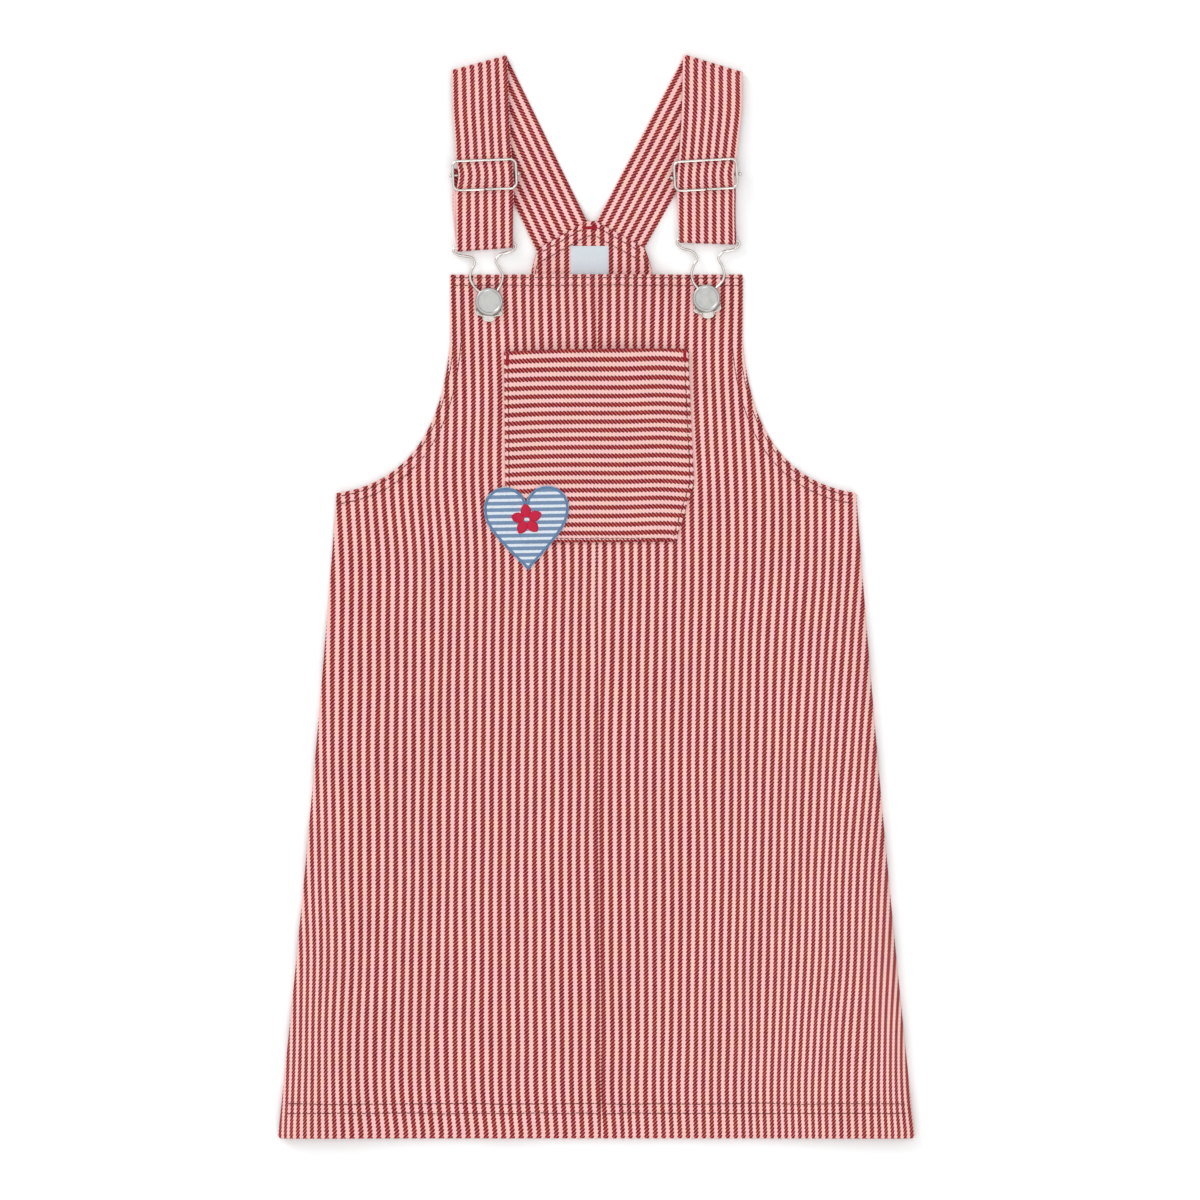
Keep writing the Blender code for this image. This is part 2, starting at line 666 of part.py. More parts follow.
def stretch_between(rows):
    """Rulings along table rows, eased so that the cloth bends softly."""
    rulings = []
    for start, end in zip(rows, rows[1:]):
        climb = abs(end[4] - start[4])
        steps = 6 if climb > 1.0 else 2
        for step in range(steps):
            share = step / steps
            inner_x, inner_y, outer_x, outer_y = (mix(a, b, share) for a, b in zip(start[:4], end[:4]))
            z = mix(start[4], end[4], blend(share, 0.0, 1.0))
            rulings.append([Vector((inner_x, inner_y, z)), Vector((outer_x, outer_y, z))])
    final = rows[-1]
    rulings.append([Vector((final[0], final[1], final[4])), Vector((final[2], final[3], final[4]))])
    return rulings


def make_strap(name, sizes, material):
    rulings = strap_rulings(sizes)
    middles = [(inner + outer) / 2 for inner, outer in rulings]
    upper, lower = [], []
    for i, (inner, outer) in enumerate(rulings):
        along = middles[min(i + 1, len(middles) - 1)] - middles[max(i - 1, 0)]
        normal = along.cross(outer - inner).normalized() * STRAP_WALL / 2
        points = (inner, (inner + outer) / 2, outer)
        upper.append([point + normal for point in points])
        lower.append([point - normal for point in points])
    return wall_from_sheets(name, upper, lower, material)


# --------------------------------------------------------------------- metal
def make_slider_frame(name, sizes, material):
    """Rounded rectangle of wire."""
    half_width, half_height = sizes["width"] / 2, SLIDER_HEIGHT / 2
    tilt = math.radians(sizes["tilt"])
    path = []
    for quarter in range(4):
        sign_x = 1 if quarter in (0, 3) else -1
        sign_y = 1 if quarter in (0, 1) else -1
        for step in range(6):
            turn = math.pi / 2 * (quarter + step / 5)
            x = sign_x * (half_width - SLIDER_CORNER) + SLIDER_CORNER * math.cos(turn)
            y = sign_y * (half_height - SLIDER_CORNER) + SLIDER_CORNER * math.sin(turn)
            turned_x = x * math.cos(tilt) - y * math.sin(tilt)
            turned_y = x * math.sin(tilt) + y * math.cos(tilt)
            path.append((sizes["middle"][0] + turned_x, sizes["middle"][1] + turned_y, FRAME_Z))
    return tube(name, path, [WIRE_RADIUS] * len(path), 8, material, closed=True)


def make_slider_bar(name, sizes, material):
    """Centre bar with a ball at each end, below the frame's short wires."""
    start, end = (Vector((*point, BAR_Z)) for point in sizes["bar"])
    along = (end - start).normalized()
    neck = math.degrees(math.asin(WIRE_RADIUS / BALL_RADIUS))
    turns = (-75.0, -45.0, -15.0, 15.0, 90.0 - neck)
    path, radii = [], []
    for turn in turns:
        path.append(start + along * BALL_RADIUS * math.sin(math.radians(turn)))
        radii.append(BALL_RADIUS * math.cos(math.radians(turn)))
    for turn in reversed(turns):
        path.append(end - along * BALL_RADIUS * math.sin(math.radians(turn)))
        radii.append(BALL_RADIUS * math.cos(math.radians(turn)))
    return tube(name, path, radii, 10, material)


def make_hook(name, points, material):
    """Wire hook: a waisted loop that hangs on the button."""
    path = smooth_path([(x, y, HOOK_Z) for x, y in points], HOOK_STEP)
    return tube(name, path, [WIRE_RADIUS] * len(path), 8, material)


def plate_radius(angle):
    """Radius of the plate's edge, this many degrees from straight down."""
    away = abs(angle)
    for (start, near), (end, far) in zip(PLATE_EDGE, PLATE_EDGE[1:]):
        if away <= end:
            return mix(near, far, blend(away, start, end))
    return PLATE_EDGE[-1][1]


def make_plate(name, sizes, material):
    """Keyhole plate of the hook, with a round hole for the button's shank."""
    count = 44
    rings = []
    for radius_of, z in (
        (plate_radius, PLATE_Z),
        (plate_radius, PLATE_Z + PLATE_WALL),
        (lambda angle: PLATE_HOLE, PLATE_Z + PLATE_WALL),
        (lambda angle: PLATE_HOLE, PLATE_Z),
    ):
        ring = []
        for k in range(count):
            angle = -180.0 + 360.0 * k / count
            turn = math.radians(angle - 90.0 + sizes["turn"])
            radius = radius_of(angle)
            x = sizes["middle"][0] + radius * math.cos(turn)
            y = sizes["middle"][1] + radius * math.sin(turn)
            ring.append((x, y, z))
        rings.append(ring)
    vertices = [point for ring in rings for point in ring]
    faces = []
    for ring in range(4):
        here, there = ring * count, ((ring + 1) % 4) * count
        for k in range(count):
            after = (k + 1) % count
            faces.append((here + k, here + after, there + after, there + k))
    return add_object(name, vertices, faces, material)


def make_button(name, sizes, material):
    """Tack button: shank through the plate and a cap with a raised rim."""
    foot = FLOOR_LIFT + WALL + GAP
    profile = (
        (0.0, foot), (SHANK_RADIUS, foot), (SHANK_RADIUS, CAP_Z), (7.6, CAP_Z), (8.3, CAP_Z + 0.35),
        (BUTTON_RADIUS, CAP_Z + 0.9), (8.2, CAP_Z + 1.5), (7.5, CAP_Z + 1.75), (6.8, CAP_Z + 1.6),
        (6.2, CAP_Z + 1.2), (3.4, CAP_Z + 1.35), (0.0, CAP_Z + 1.4),
    )
    return lathe(name, profile, 32, sizes["middle"], material)


# ---------------------------------------------------------------------- main
def clear_scene():
    for thing in list(bpy.data.objects):
        bpy.data.objects.remove(thing, do_unlink=True)


def twill(name):
    return make_material(name + "_twill", (0.55, 0.18, 0.17), 0.9)


def metal(name):
    return make_material(name + "_metal", (0.62, 0.61, 0.58), 0.38, 1.0)


def main():
    clear_scene()
    bpy.context.scene.unit_settings.scale_length = 1.0
    make_back(twill("back"))
    make_front("front_left", -1, twill("front_left"))
    make_front("front_right", 1, twill("front_right"))
    make_facing(twill("back_facing"))
    make_label(make_material("label_cloth", (0.78, 0.81, 0.85), 0.8))
    make_pocket(twill("pocket"))
    make_heart(make_material("heart_cloth", (0.30, 0.42, 0.58), 0.85))
    for side in ("left", "right"):
        make_strap("strap_" + side, STRAPS[side], twill("strap_" + side))
        make_slider_frame("slider_" + side, SLIDERS[side], metal("slider_" + side))
        make_slider_bar("slider_bar_" + side, SLIDERS[side], metal("slider_bar_" + side))
        make_hook("hook_" + side, HOOKS[side], metal("hook_" + side))
        make_plate("hook_plate_" + side, BUTTONS[side], metal("hook_plate_" + side))
        make_button("button_" + side, BUTTONS[side], metal("button_" + side))


main()
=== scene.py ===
"""Looks of a child's pinafore dress in striped cotton twill, laid flat on its back.

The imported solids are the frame. Every visible piece is modelled here at their
sizes and in their places. Sizes are in millimetres and become metres where a
mesh or a lamp is made. +Z is up, +Y runs from the hem to the strap folds.
"""
from __future__ import annotations

import logging
import math
from dataclasses import dataclass
from enum import Enum
from typing import Callable, Sequence

import bmesh
import bpy
import numpy as np
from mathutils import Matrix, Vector


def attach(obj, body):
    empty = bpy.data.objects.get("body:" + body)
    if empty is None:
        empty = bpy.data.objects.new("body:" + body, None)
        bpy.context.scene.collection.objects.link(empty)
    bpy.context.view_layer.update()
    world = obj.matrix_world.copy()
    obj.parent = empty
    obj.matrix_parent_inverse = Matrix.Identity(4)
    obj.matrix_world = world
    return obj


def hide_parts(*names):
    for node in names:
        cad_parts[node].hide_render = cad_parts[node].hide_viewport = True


MM = 0.001
GAP = 0.3                # between pieces that are sewn together
STRIPE = 5.42            # from one red stripe to the next
WALL = 1.2               # one layer of twill, with its turnings

Array = np.ndarray
Piece = bpy.types.Object
Socket = bpy.types.NodeSocket
Height = Callable[[Array, Array], Array]

log = logging.getLogger("pinafore")
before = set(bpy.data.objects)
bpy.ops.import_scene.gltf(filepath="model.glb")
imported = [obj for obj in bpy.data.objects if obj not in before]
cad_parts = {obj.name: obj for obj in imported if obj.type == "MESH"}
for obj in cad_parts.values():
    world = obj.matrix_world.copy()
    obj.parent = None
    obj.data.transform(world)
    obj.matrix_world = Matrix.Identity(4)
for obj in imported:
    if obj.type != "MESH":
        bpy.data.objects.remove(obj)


class Side(Enum):
    """Left or right half of the laid dress, as seen from above."""

    LEFT = "left"
    RIGHT = "right"

    @property
    def sign(self) -> int:
        """-1 on the left, 1 on the right."""
        return -1 if self is Side.LEFT else 1


# ---- small sums
def blend(value: Array | float, start: float, end: float) -> Array:
    """Smooth step from 0 at start to 1 at end.

    Args:
        value: Where to read the step.
        start: Value at which it leaves 0.
        end: Value at which it reaches 1.

    Returns:
        The step, as an array shaped like value.
    """
    share = np.clip((np.asarray(value, float) - start) / (end - start), 0.0, 1.0)
    return share * share * (3.0 - 2.0 * share)


def mix(first: Array | float, second: Array | float, share: Array | float) -> Array:
    """Weighted mean of two values, the first at share 0."""
    return first + (second - first) * share


def bump_at(offset: Array | float, width: float) -> Array:
    """Round bump of height 1 at offset 0, about twice width across."""
    return np.exp(-((np.asarray(offset, float) / width) ** 2))


def round_off(distance: Array, radius: float) -> Array:
    """How far a rounded edge stands back, this far from its end."""
    inside = np.clip(radius - distance, 0.0, radius)
    return radius - np.sqrt(radius**2 - inside**2)


def stacked(x: Array, y: Array | float, z: Array | float) -> Array:
    """A grid of points, or of cloth places, from its three numbers."""
    return np.stack(np.broadcast_arrays(x, y, z), axis=2)


def reach_along(path: Array) -> Array:
    """Distance of each point of a line from its start."""
    return np.concatenate([[0.0], np.cumsum(np.linalg.norm(np.diff(path, axis=0), axis=1))])


def through(places: Sequence[float], values: Sequence[float], at: Array | float) -> Array:
    """Smooth curve through knots, flat beyond both ends.

    Args:
        places: Rising knot places.
        values: Value at each knot.
        at: Where to read the curve.

    Returns:
        The curve's values, as an array shaped like at.
    """
    places, values = np.asarray(places, float), np.asarray(values, float)
    slopes = np.gradient(values, places)
    at = np.clip(np.asarray(at, float), places[0], places[-1])
    left = np.clip(np.searchsorted(places, at, side="right") - 1, 0, len(places) - 2)
    reach = places[left + 1] - places[left]
    t = (at - places[left]) / reach
    rise = values[left] * (2 * t**3 - 3 * t**2 + 1) + values[left + 1] * (3 * t**2 - 2 * t**3)
    return rise + reach * (slopes[left] * (t**3 - 2 * t**2 + t) + slopes[left + 1] * (t**3 - t**2))


def bezier(curve: Sequence[tuple[float, ...]], shares: Array) -> Array:
    """Points along a cubic Bezier curve.

    Args:
        curve: Its four handles.
        shares: Curve parameters from 0 to 1.

    Returns:
        One point for each share.
    """
    t = np.asarray(shares, float)[:, None]
    p = np.asarray(curve, float)
    rest = 1.0 - t
    return rest**3 * p[0] + 3 * rest**2 * t * p[1] + 3 * rest * t**2 * p[2] + t**3 * p[3]


def ripple(x: Array, y: Array, wavelength: float, seed: int, waves: int = 7) -> Array:
    """Soft random swell, about -1 to 1, made of a few crossing sine waves.

    Args:
        x: Places across.
        y: Places along.
        wavelength: Mean distance from crest to crest.
        seed: Picks the waves.
        waves: How many there are.

    Returns:
        The swell at each place.
    """
    draw = np.random.default_rng(seed)
    total = np.zeros(np.broadcast(x, y).shape)
    for _ in range(waves):
        turn, start = draw.uniform(0, 2 * math.pi, 2)
        length = wavelength * draw.uniform(0.7, 1.5)
        total += np.sin((x * math.cos(turn) + y * math.sin(turn)) * 2 * math.pi / length + start)
    return total / math.sqrt(2 * waves)


def resample(path: Array, step: float) -> tuple[Array, Array]:
    """Even places along a line of points.

    Args:
        path: The line, one point a row.
        step: Wanted distance between places; the last one is at the line's end.

    Returns:
        The places and their distance from the start.
    """
    reach = reach_along(path)
    count = max(int(round(reach[-1] / step)), 1)
    wanted = np.linspace(0.0, reach[-1], count + 1)
    columns = [np.interp(wanted, reach, path[:, axis]) for axis in range(path.shape[1])]
    return np.stack(columns, axis=1), wanted


def line_distance(x: Array, y: Array, path: Array) -> Array:
    """Distance from places to the nearest point of a finely divided line.

    Args:
        x: Places across.
        y: Places along.
        path: The line's points.

    Returns:
        The distances, shaped like x.
    """
    best = np.full(np.shape(x), np.inf)
    for a, b in path:
        np.minimum(best, (x - a) ** 2 + (y - b) ** 2, out=best)
    return np.sqrt(best)


# ---- mesh building
def make_object(
    name: str,
    points: Array,
    faces: list,
    material: bpy.types.Material,
    cloth: Array | None = None,
    smooth_below: float = 50.0,
) -> Piece:
    """A closed object that rides on the dress.

    Args:
        name: The piece's name.
        points: Its points in millimetres.
        faces: Its faces, as lists of point numbers.
        material: Its finish.
        cloth: For each point, stripes across, millimetres along and the piece's own shift.
        smooth_below: Edges that turn less than this many degrees are shaded smooth.

    Returns:
        The new object.
    """
    mesh = bpy.data.meshes.new(name)
    mesh.from_pydata((np.asarray(points) * MM).tolist(), [], faces)
    build = bmesh.new()
    build.from_mesh(mesh)
    bmesh.ops.recalc_face_normals(build, faces=build.faces)
    build.to_mesh(mesh)
    build.free()
    mesh.shade_smooth()
    mesh.set_sharp_from_angle(angle=math.radians(smooth_below))
    if cloth is not None:
        layer = mesh.attributes.new("cloth", "FLOAT_VECTOR", "POINT")
        layer.data.foreach_set("vector", np.asarray(cloth, np.float32).ravel())
    mesh.materials.append(material)
    piece = bpy.data.objects.new(name, mesh)
    bpy.context.scene.collection.objects.link(piece)
    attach(piece, "root")
    log.info("%s: %d points, %d faces", name, len(points), len(faces))
    return piece


def grid_faces(rows: int, columns: int, first: int = 0) -> Array:
    """Four-sided faces of a grid of points numbered row by row."""
    corner = (np.arange(rows - 1)[:, None] * columns + np.arange(columns - 1)).ravel() + first
    return np.stack([corner, corner + 1, corner + columns + 1, corner + columns], axis=1)


def shell_faces(rows: int, columns: int) -> list:
    """Faces of a closed wall between two grids with the same rows and columns.

    Args:
        rows: Rows of each grid.
        columns: Columns of each grid.

    Returns:
        The faces of both grids and of the rim between them.
    """
    below = rows * columns
    faces = grid_faces(rows, columns).tolist() + grid_faces(rows, columns, below)[:, ::-1].tolist()
    rim = list(range(columns))
    rim += [i * columns + columns - 1 for i in range(1, rows)]
    rim += [(rows - 1) * columns + j for j in range(columns - 2, -1, -1)]
    rim += [i * columns for i in range(rows - 2, 0, -1)]
    faces += [[a, b, below + b, below + a] for a, b in zip(rim, rim[1:] + rim[:1])]
    return faces


def make_shell(
    name: str,
    upper: Array,
    lower: Array,
    material: bpy.types.Material,
    cloth: Array,
    lower_cloth: Array | None = None,
) -> Piece:
    """A thin closed wall of cloth.

    Args:
        name: The piece's name.
        upper: Grid of its upper points.
        lower: Grid of its lower points, the same size.
        material: Its finish.
        cloth: Cloth place of each upper point.
        lower_cloth: The same for the lower points, where it differs.

    Returns:
        The new object.
    """
    rows, columns = upper.shape[:2]
    points = np.concatenate([upper.reshape(-1, 3), lower.reshape(-1, 3)])
    under = cloth if lower_cloth is None else lower_cloth
    places = np.concatenate([cloth.reshape(-1, 3), under.reshape(-1, 3)])
    return make_object(name, points, shell_faces(rows, columns), material, places)


def tube_faces(rings: int, sides: int, closed: bool, first: int = 0) -> list:
    """Four-sided faces between rings of points numbered ring by ring.

    Args:
        rings: How many rings there are.
        sides: Points in each ring.
        closed: Whether the last ring joins the first; otherwise both are capped.
        first: Number of the first point.

    Returns:
        The faces.
    """
    faces = []
    for i in range(rings if closed else rings - 1):
        here, there = first + i * sides, first + (i + 1) % rings * sides
        for k in range(sides):
            after = (k + 1) % sides
            faces.append([here + k, here + after, there + after, there + k])
    if not closed:
        last = first + (rings - 1) * sides
        faces += [list(range(first, first + sides)), list(range(last, last + sides))]
    return faces


def make_wire(
    name: str,
    path: Array,
    radius: float | Array,
    material: bpy.types.Material,
    sides: int = 14,
    round_ends: bool = True,
) -> Piece:
    """Round wire along a line of points.

    Args:
        name: The piece's name.
        path: Points of its middle line.
        radius: Its radius, or one for each point.
        material: Its finish.
        sides: Faces round it.
        round_ends: Whether its ends are rounded.

    Returns:
        The new object.
    """
    path = np.asarray(path, float)
    radii = np.broadcast_to(np.asarray(radius, float), (len(path),)).copy()
    if round_ends:
        start, end = path[0] - path[1], path[-1] - path[-2]
        start, end = start / np.linalg.norm(start), end / np.linalg.norm(end)
        caps = np.radians([75.0, 45.0, 20.0])
        first = path[0] - radii[0] * start
        last = path[-1] - radii[-1] * end
        head = [first + start * radii[0] * math.sin(turn) for turn in caps]
        tail = [last + end * radii[-1] * math.sin(turn) for turn in caps[::-1]]
        path = np.concatenate([head, [first], path[1:-1], [last], tail])
        ends = np.cos(caps)
        radii = np.concatenate([radii[0] * ends, radii[:1], radii[1:-1], radii[-1:], radii[-1] * ends[::-1]])
    along = np.gradient(path, axis=0)
    along /= np.linalg.norm(along, axis=1)[:, None]
    side = np.cross(along, (0.0, 0.0, 1.0))
    side /= np.linalg.norm(side, axis=1)[:, None]
    up = np.cross(side, along)
    turns = np.linspace(0, 2 * math.pi, sides, endpoint=False)
    ring = np.cos(turns)[None, :, None] * side[:, None] + np.sin(turns)[None, :, None] * up[:, None]
    points = path[:, None] + radii[:, None, None] * ring
    return make_object(name, points.reshape(-1, 3), tube_faces(len(path), sides, False), material)


# ---- finishes
class Recipe:
    """Writes the node tree of one material."""

    def __init__(self, name: str) -> None:
        """Starts a material with a Principled shader.

        Args:
            name: The material's name.
        """
        self.material = bpy.data.materials.new(name)
        self.material.use_nodes = True
        self.tree = self.material.node_tree
        self.shader = self.tree.nodes["Principled BSDF"]

    def feed(self, socket: Socket, value: object) -> None:
        """Links an output to a socket, or sets the socket's own value.

        Args:
            socket: The socket.
            value: An output to link, or a plain value.
        """
        if isinstance(value, Socket):
            self.tree.links.new(value, socket)
        else:
            socket.default_value = value

    def node(self, kind: str, inputs: dict | None = None, **settings: object) -> bpy.types.Node:
        """Adds a node.

        Args:
            kind: Blender's name for the node.
            inputs: Values or outputs for its inputs, by name or number.
            **settings: Its own settings.

        Returns:
            The new node.
        """
        made = self.tree.nodes.new(kind)
        for key, value in settings.items():
            setattr(made, key, value)
        for key, value in (inputs or {}).items():
            self.feed(made.inputs[key], value)
        return made

    def sum(self, operation: str, *values: object) -> Socket:
        """One step of arithmetic on numbers or outputs."""
        made = self.node("ShaderNodeMath", dict(enumerate(values)), operation=operation)
        return made.outputs[0]

    def step(self, value: object, start: object, end: object) -> Socket:
        """Smooth step from 0 at start to 1 at end."""
        inputs = {"Value": value, "From Min": start, "From Max": end}
        return self.node("ShaderNodeMapRange", inputs, interpolation_type="SMOOTHSTEP").outputs[0]

    def noise(self, place: object, scale: float, detail: float = 2.0) -> Socket:
        """Noise from 0 to 1 that averages one half."""
        inputs = {"Vector": place, "Scale": scale, "Detail": detail}
        return self.node("ShaderNodeTexNoise", inputs).outputs["Fac"]

    def tint(self, share: object, first: object, second: object, way: str = "MIX") -> Socket:
        """Mixes two colours, the first at share 0.

        Args:
            share: 0 for the first colour, 1 for the second.
            first: First colour.
            second: Second colour.
            way: Blender's name for the way of mixing.

        Returns:
            The mixed colour.
        """
        made = self.node("ShaderNodeMix", data_type="RGBA", blend_type=way)
        for socket, value in ((made.inputs[0], share), (made.inputs[6], first), (made.inputs[7], second)):
            self.feed(socket, (*value, 1.0) if isinstance(value, tuple) else value)
        return made.outputs[2]

    def place(self) -> tuple[Socket, Socket, Socket]:
        """The cloth place of a point, as three numbers.

        Returns:
            Stripes across, millimetres along and the piece's own shift.
        """
        read = self.node("ShaderNodeAttribute", attribute_name="cloth")
        parts = self.node("ShaderNodeSeparateXYZ", {0: read.outputs["Vector"]})
        return parts.outputs[0], parts.outputs[1], parts.outputs[2]

    def together(self, x: object, y: object, z: object) -> Socket:
        """A vector from three numbers or outputs."""
        return self.node("ShaderNodeCombineXYZ", {0: x, 1: y, 2: z}).outputs[0]

    def wave(self, value: object, pitch: float) -> Socket:
        """Sine from 0 to 1 that repeats after each pitch."""
        turn = self.sum("MULTIPLY", value, 2 * math.pi / pitch)
        return self.sum("MULTIPLY_ADD", self.sum("SINE", turn), 0.5, 0.5)

    def off_stripe(self, across: object) -> Socket:
        """Distance from the middle of the nearest stripe, as a share of a repeat."""
        whole = self.sum("FRACT", self.sum("ADD", across, 0.5))
        return self.sum("ABSOLUTE", self.sum("SUBTRACT", whole, 0.5))

    def shaded(self, colour: object, shade: object) -> Socket:
        """A colour made darker by a shade below 1."""
        return self.tint(1.0, colour, self.together(shade, shade, shade), "MULTIPLY")

    def finish(
        self, colour: object, roughness: object, height: object = None, depth: float = 0.05, **fixed: float
    ) -> bpy.types.Material:
        """Feeds the shader.

        Args:
            colour: Its colour.
            roughness: Its roughness.
            height: Relief from 0 to 1, if any.
            depth: Depth of that relief in millimetres.
            **fixed: Values of other sockets, which are the same all over.

        Returns:
            The finished material.
        """
        self.feed(self.shader.inputs["Base Color"], (*colour, 1.0) if isinstance(colour, tuple) else colour)
        self.feed(self.shader.inputs["Roughness"], roughness)
        for name, value in fixed.items():
            self.feed(self.shader.inputs[name.replace("_", " ")], value)
        if height is not None:
            relief = self.node("ShaderNodeBump", {"Height": height, "Distance": depth * MM, "Strength": 1.0})
            self.feed(self.shader.inputs["Normal"], relief.outputs[0])
        return self.material


@dataclass(frozen=True)
class TwillFinish:
    """Cotton twill with woven red and pink stripes."""

    red: tuple = (0.150, 0.003, 0.011)
    brick: tuple = (0.190, 0.008, 0.007)      # the warmer red of some stretches
    red_lit: tuple = (0.60, 0.125, 0.125)     # where a pink weft shows between the red warps
    pink: tuple = (0.91, 0.545, 0.545)
    beige: tuple = (0.87, 0.60, 0.48)
    red_share: float = 0.263                  # half the red stripe's share of a repeat
    wale: float = 2.28                        # upright distance between twill lines
    wale_slope: float = 0.847                 # their rise over their run
    bite: float = 0.062                       # how far the lines bite into a stripe's edge
    roughness: float = 0.92
    sheen: float = 0.1

    def material(self, name: str) -> bpy.types.Material:
        """The finish as a material with the given name.

        Args:
            name: The material's name.

        Returns:
            The material.
        """
        recipe = Recipe(name)
        across, along, shift = recipe.place()
        run = recipe.sum("MULTIPLY", across, STRIPE)
        yarn = recipe.together(run, along, shift)
        worn = recipe.noise(yarn, 1.1, 2.0)
        phase = recipe.sum("SUBTRACT", along, recipe.sum("MULTIPLY", run, self.wale_slope))
        phase = recipe.sum("MULTIPLY_ADD", recipe.noise(yarn, 0.12, 1.0), 0.5, phase)
        line = recipe.wave(phase, self.wale)
        edge = recipe.sum("MULTIPLY_ADD", recipe.sum("SUBTRACT", line, 0.5), -2 * self.bite, self.red_share)
        edge = recipe.sum("MULTIPLY_ADD", recipe.sum("SUBTRACT", worn, 0.5), 0.08, edge)
        beyond = recipe.sum("SUBTRACT", recipe.off_stripe(across), edge)
        pinkness = recipe.step(beyond, -0.02, 0.02)
        patchy = recipe.step(worn, 0.25, 0.55)
        thread = recipe.sum("MULTIPLY", recipe.step(line, 0.40, 0.85), patchy)
        drawn = recipe.together(run, recipe.sum("MULTIPLY", along, 0.6), shift)
        hue = recipe.step(recipe.noise(drawn, 0.16), 0.35, 0.65)
        red = recipe.tint(thread, recipe.tint(hue, self.red, self.brick), self.red_lit)
        fleck = recipe.sum("MULTIPLY", hue, recipe.step(recipe.noise(yarn, 1.7, 2.0), 0.35, 0.65))
        pink = recipe.tint(fleck, self.pink, self.beige)
        pink = recipe.tint(recipe.sum("MULTIPLY", recipe.step(line, 0.6, 0.0), 0.14), pink, self.red_lit)
        shade = recipe.sum("MULTIPLY_ADD", recipe.noise(yarn, 0.06, 2.0), 0.14, 0.93)
        colour = recipe.shaded(recipe.tint(pinkness, red, pink), shade)
        height = recipe.sum("MULTIPLY_ADD", line, 0.7, recipe.sum("MULTIPLY", worn, 0.3))
        return recipe.finish(
            colour, self.roughness, height, 0.09,
            Sheen_Weight=self.sheen, Sheen_Roughness=0.5, Specular_IOR_Level=0.2,
        )


@dataclass(frozen=True)
class StripedSatinFinish:
    """Blue cloth with fine white stripes, for the heart."""

    blue: tuple = (0.165, 0.255, 0.40)
    white: tuple = (0.70, 0.77, 0.84)
    white_share: float = 0.205
    roughness: float = 0.8

    def material(self, name: str) -> bpy.types.Material:
        """The finish as a material with the given name.

        Args:
            name: The material's name.

        Returns:
            The material.
        """
        recipe = Recipe(name)
        across, along, shift = recipe.place()
        yarn = recipe.together(recipe.sum("MULTIPLY", across, 4.0), along, shift)
        worn = recipe.noise(yarn, 1.1, 2.0)
        edge = recipe.sum("MULTIPLY_ADD", recipe.sum("SUBTRACT", worn, 0.5), 0.10, self.white_share)
        blueness = recipe.step(recipe.sum("SUBTRACT", recipe.off_stripe(across), edge), -0.05, 0.05)
        knit = recipe.sum("SINE", recipe.sum("MULTIPLY", along, 2 * math.pi / 0.9))
        rows = recipe.sum("SINE", recipe.sum("MULTIPLY", across, 2 * math.pi * 4.0))
        weave = recipe.sum("MULTIPLY_ADD", recipe.sum("MULTIPLY", knit, rows), 0.5, 0.5)
        shade = recipe.sum("MULTIPLY_ADD", weave, 0.16, recipe.sum("MULTIPLY_ADD", worn, 0.2, 0.82))
        colour = recipe.shaded(recipe.tint(blueness, self.white, self.blue), shade)
        return recipe.finish(colour, self.roughness, weave, 0.06, Sheen_Weight=0.1, Specular_IOR_Level=0.25)


@dataclass(frozen=True)
class ThreadFinish:
    """Sewing or embroidery thread, its strands across the first cloth number, with a painted highlight on
    each strand's crest.
    """

    colour: tuple = (0.115, 0.018, 0.018)
    # lighter colour: painted highlight on the strand crests, also mixed in at random
    lit: tuple = (0.22, 0.045, 0.038)
    strands: float = 1.0                      # strands for each unit of the first number
    roughness: float = 0.55
    depth: float = 0.05

    def material(self, name: str) -> bpy.types.Material:
        """The finish as a material with the given name.

        Args:
            name: The material's name.

        Returns:
            The material.
        """
        recipe = Recipe(name)
        across, along, shift = recipe.place()
        line = recipe.wave(across, 1.0 / self.strands)
        worn = recipe.noise(recipe.together(across, along, shift), 0.8, 2.0)
        # painted highlight: the lighter colour goes on each strand's crest, and on random patches
        share = recipe.sum("MULTIPLY_ADD", worn, 0.8, recipe.sum("MULTIPLY", line, 0.35))
        colour = recipe.tint(recipe.sum("MINIMUM", share, 1.0), self.colour, self.lit)
        return recipe.finish(colour, self.roughness, line, self.depth, Specular_IOR_Level=0.2)


@dataclass(frozen=True)
class LabelFinish:
    """Plain pale grey-blue ribbon weave."""

    colour: tuple = (0.635, 0.685, 0.735)
    rib: float = 0.55
    roughness: float = 0.65

    def material(self, name: str) -> bpy.types.Material:
        """The finish as a material with the given name.

        Args:
            name: The material's name.

        Returns:
            The material.
        """
        recipe = Recipe(name)
        across, along, shift = recipe.place()
        ribs = recipe.sum("SINE", recipe.sum("MULTIPLY", along, 2 * math.pi / self.rib))
        warps = recipe.sum("SINE", recipe.sum("MULTIPLY", across, 2 * math.pi / self.rib))
        weave = recipe.sum("MULTIPLY_ADD", recipe.sum("MULTIPLY", ribs, warps), 0.5, 0.5)
        worn = recipe.noise(recipe.together(across, along, shift), 0.7, 3.0)
        shade = recipe.sum("MULTIPLY_ADD", weave, 0.06, recipe.sum("MULTIPLY_ADD", worn, 0.12, 0.9))
        colour = recipe.shaded(self.colour, shade)
        return recipe.finish(colour, self.roughness, weave, 0.04, Sheen_Weight=0.1, Specular_IOR_Level=0.3)


